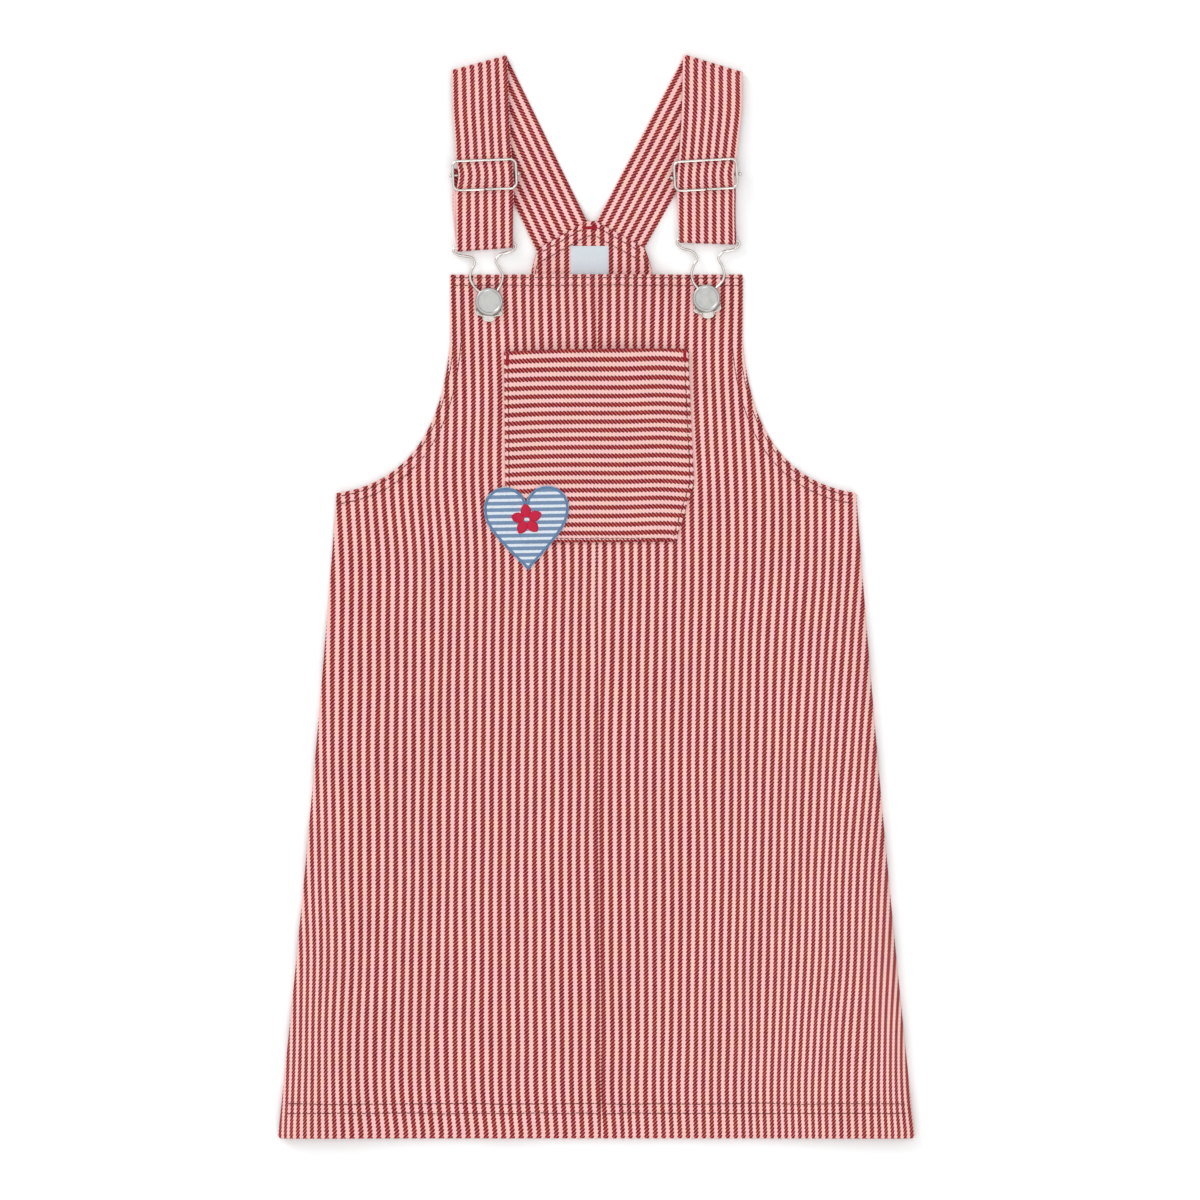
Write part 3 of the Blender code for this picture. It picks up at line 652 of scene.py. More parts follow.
@dataclass(frozen=True)
class MetalFinish:
    """Matt silver plating with faint tumbling marks."""

    colour: tuple = (0.72, 0.69, 0.65)
    tarnish: tuple = (0.60, 0.57, 0.53)
    roughness: float = 0.20
    grain: float = 1500.0                      # marks to the metre

    def material(self, name: str) -> bpy.types.Material:
        """The finish as a material with the given name.

        Args:
            name: The material's name.

        Returns:
            The material.
        """
        recipe = Recipe(name)
        place = recipe.node("ShaderNodeTexCoord").outputs["Object"]
        marks = recipe.noise(place, self.grain, 3.0)
        clouds = recipe.noise(place, self.grain / 6, 2.0)
        colour = recipe.tint(recipe.step(clouds, 0.45, 0.75), self.colour, self.tarnish)
        roughness = recipe.sum("MULTIPLY_ADD", marks, 0.14, self.roughness - 0.07)
        return recipe.finish(colour, roughness, marks, 0.012, Metallic=1.0)


@dataclass(frozen=True)
class FloorFinish:
    """Pale seamless studio paper."""

    colour: tuple = (0.985, 0.985, 0.985)

    def material(self, name: str) -> bpy.types.Material:
        """The finish as a material with the given name.

        Args:
            name: The material's name.

        Returns:
            The material.
        """
        recipe = Recipe(name)
        place = recipe.node("ShaderNodeTexCoord").outputs["Object"]
        fibre = recipe.noise(place, 700.0, 2.0)
        shade = recipe.sum("MULTIPLY_ADD", fibre, 0.01, 0.995)
        colour = recipe.shaded(self.colour, shade)
        return recipe.finish(colour, 1.0, None, Specular_IOR_Level=0.0)


# ---- dress form
@dataclass(frozen=True)
class Fold:
    """One soft fold of the laid fronts."""

    x: float
    y: float
    lean: float
    half_length: float
    half_width: float
    top: float

    def height(self, x: Array, y: Array) -> Array:
        """Its height at places of the cloth.

        Args:
            x: Places across.
            y: Places along.

        Returns:
            The height at each place.
        """
        turn = math.radians(self.lean)
        along = -(x - self.x) * math.sin(turn) + (y - self.y) * math.cos(turn)
        across = (x - self.x) * math.cos(turn) + (y - self.y) * math.sin(turn)
        fade = 1.0 - blend(np.abs(along), 0.35 * self.half_length, self.half_length)
        return self.top * fade * bump_at(across, self.half_width)


@dataclass(frozen=True)
class DressForm:
    """Outline and heights of the laid dress, shared by the pieces sewn to it."""

    hem_y: float = -336.0
    hem_half: float = 197.5
    underarm_y: float = 64.0
    underarm_half: float = 161.0
    side_hollow: float = 1.7
    bib_top_y: float = 199.4
    bib_half: float = 90.8
    armhole_top_y: float = 158.0
    corner_radius: float = 2.4
    bib_corner: float = 0.8
    floor_lift: float = 0.4
    layer_lift: float = WALL + GAP
    side_loft_height: float = 3.0
    seam_lean: float = 3.1
    seam_top_x: float = -0.3
    yoke_x: float = -3.0
    yoke_side_y: float = 215.5
    yoke_side_half: float = 33.4
    yoke_base_y: float = 202.0
    yoke_base_half: float = 37.5
    yoke_top_y: float = 232.7
    yoke_top_half: float = 2.3
    facing_end_y: float = 190.0
    label_low_y: float = 190.6
    facing_rise: float = 1.45                 # of the fronts where they cross the facing
    label_rise: float = 1.3                   # and the label
    strap_rise: float = 1.8                   # of the facing over the strap ends
    front_armhole: tuple = ((90.8, 158.0), (93.5, 124.0), (104.0, 72.0), (161.0, 64.0))
    back_armhole: tuple = ((37.5, 202.0), (39.0, 120.0), (98.0, 74.0), (161.0, 64.0))
    folds: tuple[Fold, ...] = (
        Fold(-158.0, -262.0, 2.0, 120.0, 15.0, 0.9),
        Fold(-112.0, -150.0, -4.0, 150.0, 20.0, 0.8),
        Fold(-62.0, -285.0, 3.0, 110.0, 17.0, 1.1),
        Fold(-24.0, -60.0, 4.0, 110.0, 15.0, 0.8),
        Fold(27.0, -95.0, -7.0, 150.0, 16.0, 1.1),
        Fold(78.0, -240.0, -5.0, 130.0, 19.0, 1.2),
        Fold(122.0, -80.0, -9.0, 130.0, 18.0, 0.8),
        Fold(151.0, -255.0, -8.0, 110.0, 14.0, 0.9),
        Fold(-118.0, 12.0, -28.0, 70.0, 14.0, 0.7),
        Fold(120.0, 20.0, 30.0, 70.0, 14.0, 0.7),
    )

    @property
    def yoke_slope(self) -> float:
        """Fall of the yoke's shoulders for each millimetre outwards."""
        return (self.yoke_top_y - self.yoke_side_y) / (self.yoke_side_half - self.yoke_top_half)

    def side_half_width(self, y: Array) -> Array:
        """Half the laid width at the A-line side seams."""
        share = (self.underarm_y - y) / (self.underarm_y - self.hem_y)
        return mix(self.underarm_half, self.hem_half, share) - 4 * self.side_hollow * share * (1 - share)

    @staticmethod
    def armhole_half_width(curve: tuple, y: Array) -> Array:
        """Half the width between two armhole edges."""
        points = bezier(curve, np.linspace(1.0, 0.0, 801))
        return np.interp(y, points[:, 1], points[:, 0])

    def front_half_width(self, y: Array) -> Array:
        """Half the width of the fronts at height y.

        Args:
            y: Places along.

        Returns:
            Half the width at each place.
        """
        y = np.asarray(y, float)
        bib = self.bib_half - round_off(self.bib_top_y - y, self.bib_corner)
        skirt = self.side_half_width(y) - round_off(y - self.hem_y, self.corner_radius)
        armhole = self.armhole_half_width(self.front_armhole, y)
        return np.where(y > self.armhole_top_y, bib, np.where(y > self.underarm_y, armhole, skirt))

    def back_half_width(self, y: Array) -> Array:
        """Half the width of the back at height y.

        Args:
            y: Places along.

        Returns:
            Half the width at each place.
        """
        y = np.asarray(y, float)
        shoulder = self.yoke_top_half + (self.yoke_top_y - y) / self.yoke_slope
        rise = (y - self.yoke_base_y) / (self.yoke_side_y - self.yoke_base_y)
        yoke = mix(self.yoke_base_half, self.yoke_side_half, rise)
        skirt = self.side_half_width(y) - round_off(y - self.hem_y, self.corner_radius)
        armhole = self.armhole_half_width(self.back_armhole, y)
        low = np.where(y > self.underarm_y, armhole, skirt)
        return np.where(y > self.yoke_side_y, shoulder, np.where(y > self.yoke_base_y, yoke, low))

    def back_middle(self, y: Array) -> Array:
        """Middle of the back, which the straps pull to the left."""
        return self.yoke_x * blend(y, self.underarm_y, self.yoke_base_y)

    def seam_x(self, y: Array) -> Array:
        """Centre-front seam, which drifts to the right towards the hem."""
        share = (self.bib_top_y - np.asarray(y, float)) / (self.bib_top_y - self.hem_y)
        return self.seam_top_x + self.seam_lean * share

    def side_loft(self, y: Array) -> Array:
        """Extra height of the front beside the side seams."""
        return self.side_loft_height * blend(self.underarm_y - y, 0.0, 130.0)

    def front_lift(self, x: Array, y: Array) -> Array:
        """Height of the underside of the fronts.

        Args:
            x: Places across.
            y: Places along.

        Returns:
            The height at each place.
        """
        x, y = np.asarray(x, float), np.asarray(y, float)
        beyond = np.abs(x - self.back_middle(y))
        beyond -= self.back_half_width(np.minimum(y, self.yoke_base_y))
        lift = mix(self.layer_lift, self.floor_lift, blend(beyond, 5.0, 17.0))
        off_yoke = np.abs(x - self.yoke_x)
        over_yoke = 1.0 - blend(off_yoke, self.yoke_base_half + 1.5, self.yoke_base_half + 17.0)
        over_yoke *= blend(y, self.facing_end_y - 20.0, self.facing_end_y - 1.0)
        over_label = 1.0 - blend(off_yoke, 14.5, 32.0)
        over_label *= blend(y, self.label_low_y - 18.0, self.label_low_y - 1.0)
        lift += over_yoke * self.facing_rise + over_label * self.label_rise
        share = np.abs(x) / self.side_half_width(np.minimum(y, self.underarm_y))
        lift += self.side_loft(y) * blend(share, 0.45, 0.93)
        return lift + sum(fold.height(x, y) for fold in self.folds)

    def yoke_depth(self, x: Array, y: Array) -> Array:
        """Distance straight down from the sloping top edge of the yoke."""
        reach = np.maximum(np.abs(x - self.yoke_x) - self.yoke_top_half, 0.0)
        return self.yoke_top_y - reach * self.yoke_slope - y

    def facing_lift(self, x: Array, y: Array) -> Array:
        """Underside of the facing: over the strap ends, then down on the back."""
        on_back = blend(self.yoke_depth(x, y), 7.5, 13.0)
        return mix(self.layer_lift + self.strap_rise, self.layer_lift, on_back)


FORM = DressForm()


# ---- cloth pieces
@dataclass(frozen=True)
class StripeChart:
    """Where the red stripes of one front run.

    A stripe's straight place is start + step * number. Each row of drifts has a
    height y and how far the numbered stripes have moved from there, sideways.
    """

    start: float
    step: float
    numbers: tuple[int, ...]
    drifts: tuple[tuple[float, ...], ...]

    def count(self, x: Array, y: float) -> Array:
        """Number of stripes from the seam to each x at height y.

        Args:
            x: Places across.
            y: Height of all of them.

        Returns:
            Whole numbers in the middle of each red stripe.
        """
        rows = np.array(self.drifts)[::-1]
        drift = [through(rows[:, 0], rows[:, 1 + k], y) for k in range(len(self.numbers))]
        fine = np.arange(-3.0, 52.0, 0.5)
        end = (drift[-1] - drift[-2]) / (self.numbers[-1] - self.numbers[-2])
        moved = through(self.numbers, drift, fine) + np.maximum(fine - self.numbers[-1], 0.0) * end
        places = self.start + self.step * fine + moved
        order = np.argsort(places)
        return np.interp(x, places[order], fine[order])


STRIPES = {
    Side.LEFT: StripeChart(0.0, -STRIPE, (0, 12, 24, 30, 36, 42), (
        (191.0, -2.4, -2.1, -2.6, -4.2, -5.4, -6.0),
        (121.0, -0.9, -0.4, -1.4, -2.9, -4.2, -5.0),
        (72.0, 0.6, -0.7, -2.3, -3.3, -4.2, -5.0),
        (22.0, 0.9, 1.5, 0.8, -0.8, -1.7, -2.5),
        (-27.0, 0.3, 0.9, 0.8, -0.8, -0.2, 0.0),
        (-101.0, -0.3, 0.3, 0.2, -0.8, 4.5, 10.9),
        (-176.0, -0.3, -0.4, 0.2, 0.5, 6.0, 12.8),
        (-226.0, 0.3, -0.4, -0.4, 1.1, 8.0, 17.1),
        (-275.0, 0.9, -0.4, -1.7, -0.5, 7.9, 19.0),
        (-312.0, 1.2, 0.3, -1.1, -0.2, 6.9, 20.2),
        (-332.0, 2.2, 2.1, 0.8, 0.5, 6.3, 19.0),
    )),
    Side.RIGHT: StripeChart(3.7, STRIPE, (0, 12, 18, 24, 30, 36, 42), (
        (191.0, -1.1, -1.2, -1.2, -1.4, -1.7, -2.0, -2.3),
        (146.0, -1.2, -2.1, -1.8, -2.0, -2.3, -2.6, -2.9),
        (97.0, -0.3, -0.3, 0.7, 0.4, 0.1, 0.0, 0.0),
        (72.0, 0.9, 1.0, 1.9, 1.7, 1.4, 1.0, 1.0),
        (22.0, 1.5, 1.6, 1.9, 1.7, 0.7, 0.0, -1.7),
        (-27.0, 0.9, 0.4, -0.6, -1.4, -3.0, -5.0, -7.9),
        (-101.0, -0.3, -0.9, -2.4, -5.1, -8.6, -12.5, -17.8),
        (-176.0, -0.3, -0.9, -3.7, -7.6, -13.5, -19.3, -27.7),
        (-226.0, 0.3, -1.5, -4.9, -8.9, -14.8, -21.8, -32.0),
        (-275.0, 0.9, -2.1, -5.5, -11.3, -18.5, -23.7, -35.8),
        (-312.0, 0.9, -2.7, -6.1, -12.6, -19.7, -24.3, -34.5),
        (-332.0, 2.2, -2.1, -5.5, -12.0, -19.1, -23.7, -32.0),
    )),
}


@dataclass
class FrontPanel:
    """One front, from the centre seam to the side seam, with the bib in one."""

    side: Side
    finish: TwillFinish
    hem_rows: tuple = (15.6, 21.5)            # stitch rows above the hem edge
    bib_rows: tuple = (2.1, 6.7)              # below the bib's top edge
    armhole_rows: tuple = (2.2, 6.8)          # inside the armhole edge
    band_rise: float = 0.3                    # where turnings lie underneath
    trough: float = 0.24                      # depth of the cloth under a stitch row
    lip: float = 2.5                          # how far the bib's top edge stands over the yoke
    sunk: float = 0.6                         # depth of the cloth beside the pocket
    reach: float = 40.0                       # how far in the free side edge is felt
    columns: int = 88
    edge_round: float = 0.5

    def edge_path(self) -> Array:
        """Free side edge of the bib and the armhole, top to bottom.

        Returns:
            Its points.
        """
        bib = [(FORM.bib_half, y) for y in np.arange(FORM.bib_top_y, FORM.armhole_top_y, -2.0)]
        armhole = bezier(FORM.front_armhole, np.linspace(0, 1, 200))
        path, _ = resample(np.concatenate([bib, armhole]), 1.2)
        return path * (self.side.sign, 1.0)

    def edge_distance(self, x: Array, y: Array) -> Array:
        """Distance to the free side edge, up to the reach.

        Args:
            x: Places across.
            y: Places along.

        Returns:
            The distance at each place.
        """
        x, y = np.broadcast_arrays(x, y)
        distance = np.full(x.shape, self.reach)
        near = (y > FORM.underarm_y - self.reach) & (np.abs(x) > FORM.bib_half - self.reach - 5.0)
        distance[near] = np.minimum(line_distance(x[near], y[near], self.edge_path()), self.reach)
        return distance

    def relief(self, x: Array, y: Array) -> Array:
        """Bands, stitch troughs, puckers and ripples over the plain form.

        Args:
            x: Places across.
            y: Places along, the same shape.

        Returns:
            Height to add at each place.
        """
        sign = self.side.sign
        side = self.edge_distance(x, y)
        side_live = blend(y, FORM.underarm_y - 6.0, FORM.underarm_y + 3.0)
        top, hem = FORM.bib_top_y - y, y - FORM.hem_y
        rise = self.band_rise * (1.0 - blend(top, 8.0, 10.0))
        rise = np.maximum(rise, self.band_rise * (1.0 - blend(side, 8.2, 10.0)) * side_live)
        rise = np.maximum(rise, 1.2 * self.band_rise * (1.0 - blend(hem, 22.5, 25.0)))
        for rows, depth, live in (
            (self.bib_rows, top, 1.0), (self.armhole_rows, side, side_live), (self.hem_rows, hem, 1.0),
        ):
            for row in rows:
                rise = rise - self.trough * bump_at(depth - row, 0.75) * live
        pucker = 0.20 * bump_at(hem - 17.0, 9.0) * ripple(x, y * 0.35, 9.0, 11 + sign)
        pucker = pucker + 0.12 * bump_at(top - 4.5, 5.0) * ripple(x, y * 0.4, 8.0, 23 + sign)
        pucker = pucker + 0.16 * bump_at(side - 4.5, 5.0) * side_live * ripple(x * 0.7, y, 8.0, 37 + sign)
        seam = np.abs(x - FORM.seam_x(y))
        groove = 0.16 * bump_at(seam - 2.6, 1.6) - 0.55 * bump_at(seam, 0.8)
        groove = groove + 0.10 * bump_at(seam - 2.0, 4.0) * ripple(x * 0.3, y, 12.0, 51)
        lip = (1.0 - blend(top, 1.0, 15.0)) * (1.0 - blend(np.abs(x - FORM.yoke_x), 38.0, 62.0))
        above_pocket = bump_at(y - 155.2, 3.0) * (1.0 - blend(np.abs(x), 52.0, 60.0))
        beside_pocket = bump_at(x + 60.0, 2.4) * blend(y, 92.0, 118.0) * (1.0 - blend(y, 150.0, 157.0))
        groove = groove + self.lip * lip - self.sunk * np.maximum(above_pocket, beside_pocket)
        swell = 0.28 * ripple(x, y, 64.0, 71 + sign) + 0.10 * ripple(x, y, 27.0, 83 + sign)
        return rise + pucker + groove + swell * blend(seam, 0.0, 12.0)

    def height(self, x: Array, y: Array) -> Array:
        """Height of the upper face, away from the rounded edges."""
        x, y = np.asarray(x, float), np.asarray(y, float)
        return FORM.front_lift(x, y) + WALL - 0.1 + self.relief(x, y)

    def rows(self) -> Array:
        """Heights of the mesh rows, close together where the form is fine.

        Returns:
            Places along, from the top down.
        """
        edge = np.array([0.0, 0.08, 0.2, 0.4, 0.7])
        bib = FORM.bib_top_y - np.concatenate([edge, np.arange(1.2, 10.0, 0.75)])
        straight = np.arange(FORM.bib_top_y - 11.0, FORM.armhole_top_y, -2.2)
        armhole = bezier(FORM.front_armhole, np.linspace(0.0, 1.0, 74))[:, 1]
        skirt = np.arange(FORM.underarm_y - 1.0, FORM.hem_y + 30.0, -2.4)
        hem = FORM.hem_y + np.concatenate([edge, np.arange(1.2, 28.0, 0.95)])[::-1]
        return np.concatenate([bib, straight, armhole, skirt, hem])

    def build(self) -> Piece:
        """Builds the front and hides its imported solid.

        Returns:
            The new object.
        """
        sign = self.side.sign
        y = self.rows()
        joined = blend(FORM.underarm_y - y, 0.0, 12.0)
        roll = mix(0.9, 14.0, joined)
        start = FORM.seam_x(y) + sign * 0.06
        end = sign * (FORM.front_half_width(y) - roll)
        fine = np.array([0.0, 0.25, 0.6, 1.1, 1.8, 2.7])
        inner = fine * sign
        rim = 11.0 * np.linspace(1.0, 0.0, 14)
        plain = np.linspace(0.0, 1.0, self.columns)[1:-1]
        first, last = start + inner[-1], end - sign * rim[0]
        x = np.concatenate([
            start[:, None] + inner, mix(first[:, None], last[:, None], plain), end[:, None] - sign * rim,
        ], axis=1)
        grid_y = np.broadcast_to(y[:, None], x.shape)
        top = self.height(x, grid_y)
        under = FORM.front_lift(x, grid_y) + 0.05
        turns = np.radians([12.0, 24.0, 36.0, 48.0, 60.0, 72.0, 82.0, 90.0])
        seam_z = (FORM.layer_lift + WALL + FORM.side_loft(y)) / 2 + 0.06
        outer_end = mix(top[:, -1] - self.edge_round, seam_z, joined)[:, None]
        inner_end = mix(under[:, -1] + 0.25, seam_z, joined)[:, None]
        reach = roll[:, None] * np.sin(turns)
        inner_reach = (roll - joined * WALL)[:, None] * np.sin(turns)
        upper_x = np.concatenate([x, end[:, None] + sign * reach], axis=1)
        lower_x = np.concatenate([x, end[:, None] + sign * inner_reach], axis=1)
        upper_z = np.concatenate([top, mix(outer_end, top[:, -1:], np.cos(turns))], axis=1)
        lower_z = np.concatenate([under, mix(inner_end, under[:, -1:], np.cos(turns))], axis=1)
        drop = round_off(np.minimum(FORM.bib_top_y - y, y - FORM.hem_y), self.edge_round)[:, None]
        upper = stacked(upper_x, y[:, None], upper_z - drop * 0.9)
        lower = stacked(lower_x, y[:, None], lower_z + drop * 0.35)
        piece = make_shell(
            "front_" + self.side.value + "_cloth", upper, lower,
            self.finish.material("front_" + self.side.value + "_twill"), self.cloth_places(upper_x, y),
        )
        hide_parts("front_" + self.side.value)
        return piece

    def cloth_places(self, x: Array, y: Array) -> Array:
        """Stripe count and distance along the cloth for each point.

        Args:
            x: Places across, one row for each y.
            y: Heights of the rows.

        Returns:
            The cloth place of each point.
        """
        chart = STRIPES[self.side]
        cloth = np.zeros((*x.shape, 3))
        for i, level in enumerate(y):
            cloth[i, :, 0] = chart.count(x[i], level)
        wobble = 0.045 * ripple(x * 0.9, y[:, None] * 0.22, 20.0, 91 + self.side.sign)
        cloth[:, :, 0] = self.side.sign * (cloth[:, :, 0] + wobble)
        cloth[:, :, 1] = y[:, None]
        cloth[:, :, 2] = 40.0 + 20.0 * self.side.sign
        return cloth

    def stitch_lines(self) -> list[Array]:
        """The rows of topstitching on this front.

        Returns:
            A line of points for each row.
        """
        sign = self.side.sign
        lines = []
        for row in self.hem_rows:
            y = FORM.hem_y + row
            end = sign * (float(FORM.front_half_width(y)) - 4.0)
            x = np.linspace(float(FORM.seam_x(y)) + sign * 0.6, end, 160)
            lines.append(np.stack([x, y + 0.3 * ripple(x, 0.0 * x, 34.0, int(row))], axis=1))
        outline = self.edge_path()
        for row in self.armhole_rows:
            way = np.gradient(outline, axis=0)
            way /= np.linalg.norm(way, axis=1)[:, None]
            inward = np.stack([way[:, 1], -way[:, 0]], axis=1) * sign
            line = outline + inward * row
            keep = (line[:, 1] < FORM.bib_top_y - 1.0) & (line[:, 1] > FORM.underarm_y - 9.0)
            keep &= np.abs(line[:, 0]) < FORM.underarm_half - 2.0
            lines.append(line[keep])
        for row in self.bib_rows:
            y = FORM.bib_top_y - row
            x = np.linspace(sign * 0.6, sign * (FORM.bib_half - self.armhole_rows[0]), 60)
            lines.append(np.stack([x, y + 0.12 * ripple(x, 0.0 * x, 30.0, int(row))], axis=1))
        return lines


@dataclass
class BackPanel:
    """The back, one piece, flat where it rests."""

    finish: TwillFinish
    edge_round: float = 0.4
    columns: int = 56

    def build(self) -> Piece:
        """Builds the back and hides its imported solid.

        Returns:
            The new object.
        """
        yoke = np.concatenate([FORM.yoke_top_y - np.array([0.0, 0.4, 1.2, 3.0, 6.0, 10.0, 14.0]),
                               [FORM.yoke_side_y], np.linspace(212.0, FORM.yoke_base_y, 5)])
        armhole = bezier(FORM.back_armhole, np.linspace(0.0, 1.0, 60)[1:])[:, 1]
        skirt = np.arange(FORM.underarm_y - 1.5, FORM.hem_y + 3.0, -4.0)
        hem = FORM.hem_y + np.array([2.4, 1.4, 0.7, 0.3, 0.1, 0.0])
        y = np.concatenate([yoke, armhole, skirt, hem])
        joined = blend(FORM.underarm_y - y, 0.0, 12.0)
        half, middle = FORM.back_half_width(y), FORM.back_middle(y)
        roll = mix(np.minimum(0.9, half / 2), 8.0, joined)
        shares = np.linspace(-1.0, 1.0, self.columns)
        x = middle[:, None] + shares * (half - roll)[:, None]
        grid_y = np.broadcast_to(y[:, None], x.shape)
        hollow = 0.35 * np.clip(ripple(x, grid_y * 0.35, 60.0, 131), 0.0, 1.0)
        hollow *= blend(half[:, None] - np.abs(x), 6.0, 26.0)
        low = hollow * blend(FORM.yoke_base_y - grid_y, 10.0, 60.0)
        high = np.full(x.shape, WALL - 0.05)
        turns = np.radians([15.0, 30.0, 45.0, 60.0, 75.0, 90.0])
        seam_z = (FORM.layer_lift + WALL + FORM.side_loft(y)) / 2 - 0.06
        fall = 1.0 - np.cos(turns)
        outer_z = mix(low[:, -1:], mix(self.edge_round, seam_z, joined)[:, None], fall)
        inner_z = mix(high[:, -1:], mix(WALL - 0.3, seam_z, joined)[:, None], fall)
        outer_x = (half - roll)[:, None] + roll[:, None] * np.sin(turns)
        inner_x = (half - roll)[:, None] + (roll - joined * WALL)[:, None] * np.sin(turns)
        centre = middle[:, None]
        lower_x = np.concatenate([centre - outer_x[:, ::-1], x, centre + outer_x], axis=1)
        upper_x = np.concatenate([centre - inner_x[:, ::-1], x, centre + inner_x], axis=1)
        lower_z = np.concatenate([outer_z[:, ::-1], low, outer_z], axis=1)
        upper_z = np.concatenate([inner_z[:, ::-1], high, inner_z], axis=1)
        rise = round_off(y - FORM.hem_y, self.edge_round)[:, None]
        upper = stacked(upper_x, y[:, None], upper_z - rise * 0.5)
        lower = stacked(lower_x, y[:, None], lower_z + rise)
        cloth = stacked(lower_x / STRIPE, y[:, None], 90.0)
        piece = make_shell("back_cloth", upper, lower, self.finish.material("back_twill"), cloth)
        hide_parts("back")
        return piece


@dataclass
class Yoke:
    """Facing of the back yoke with its label, over the strap ends."""

    finish: TwillFinish
    label_finish: LabelFinish
    wall: float = 1.1
    inset: float = 0.3
    first_stripe: float = -35.0               # X of a red stripe
    stripe: float = 5.5
    label_x: tuple = (-16.0, 7.6)
    label_y: tuple = (190.6, 217.1)
    label_wall: float = 0.55
    gable_rows: tuple = (3.1, 8.1)            # stitch rows below the sloping edges
    side_row: float = 2.8
    square: float = 0.875                     # distance square to a shoulder for each millimetre down
    tacks: tuple = (                          # name, both ends and width
        ("yoke_tack", ((-7.2, 228.2), (-0.7, 228.4)), 1.9),
        ("yoke_tack_left_end", ((-7.4, 226.7), (-7.4, 230.0)), 1.5),
        ("yoke_tack_right_end", ((-0.6, 226.7), (-0.6, 230.4)), 1.7),
    )

    def height(self, x: Array, y: Array) -> Array:
        """Height of the facing's upper face.

        Args:
            x: Places across.
            y: Places along.

        Returns:
            The height at each place.
        """
        x, y = np.asarray(x, float), np.asarray(y, float)
        depth = FORM.yoke_depth(x, y) * self.square
        side = FORM.back_half_width(y) - np.abs(x - FORM.yoke_x)
        rise = FORM.facing_lift(x, y) + self.wall
        for row in self.gable_rows:
            rise = rise - 0.22 * bump_at(depth - row, 0.8)
        low = 1 - blend(y, FORM.yoke_side_y - 2, FORM.yoke_side_y + 1)
        rise = rise - 0.2 * bump_at(side - self.side_row, 0.8) * low
        rise = rise + 0.12 * ripple(x, y, 9.0, 141) * bump_at(depth - 5.0, 5.0)
        edge = np.minimum(depth, side)
        return rise - 0.35 * (1.0 - blend(edge, 0.0, 0.8))

    def build(self) -> list[Piece]:
        """Builds the facing and the label.

        Returns:
            The new objects.
        """
        y = np.concatenate([
            FORM.yoke_top_y - self.inset - np.array([0.0, 0.3, 0.8]),
            np.arange(FORM.yoke_top_y - 1.8, FORM.facing_end_y, -0.8), [FORM.facing_end_y],
        ])
        half = FORM.back_half_width(y) - self.inset
        shares = np.sin(np.linspace(-math.pi / 2, math.pi / 2, 75))
        x = FORM.yoke_x + shares * half[:, None]
        grid_y = np.broadcast_to(y[:, None], x.shape)
        upper = stacked(x, grid_y, self.height(x, grid_y))
        lower = stacked(x, grid_y, FORM.facing_lift(x, grid_y) + 0.05)
        cloth = stacked((x - self.first_stripe) / self.stripe, grid_y, 130.0)
        facing = make_shell("yoke_facing_cloth", upper, lower, self.finish.material("yoke_twill"), cloth)
        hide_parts("back_facing")
        return [facing, self.build_label()]

    def build_label(self) -> Piece:
        """The plain woven label, its sides turned under.

        Returns:
            The new object.
        """
        x = np.linspace(*self.label_x, 41)
        y = np.linspace(self.label_y[1], self.label_y[0], 45)
        grid_x, grid_y = np.meshgrid(x, y)
        edge = np.minimum(grid_x - self.label_x[0], self.label_x[1] - grid_x)
        edge = np.minimum(edge, self.label_y[1] - grid_y)
        base = self.height(grid_x, grid_y)
        puff = 0.25 * blend(edge, 0.3, 3.0) + 0.06 * ripple(grid_x, grid_y, 13.0, 151)
        top = base + self.label_wall * (0.45 + 0.55 * blend(edge, 0.0, 0.9)) + puff
        label = make_shell(
            "label_cloth", stacked(grid_x, grid_y, top), stacked(grid_x, grid_y, base + 0.03),
            self.label_finish.material("label_weave"), stacked(grid_x, grid_y, 7.0),
        )
        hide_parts("label")
        return label

    def stitch_lines(self) -> list[Array]:
        """Two rows along each shoulder and one down each side.

        Returns:
            A line of points for each row.
        """
        lines = []
        for sign in (-1, 1):
            for row in self.gable_rows:
                drop = row / self.square
                x = np.linspace(0.0, FORM.yoke_side_half - self.side_row, 40)
                reach = np.maximum(x - FORM.yoke_top_half, 0.0)
                y = FORM.yoke_top_y - reach * FORM.yoke_slope - drop
                lines.append(np.stack([FORM.yoke_x + sign * x, y], axis=1))
            y = np.linspace(FORM.yoke_side_y - 4.0, FORM.bib_top_y, 20)
            x = FORM.yoke_x + sign * (FORM.back_half_width(y) - self.side_row)
            lines.append(np.stack([x, y], axis=1))
        return lines


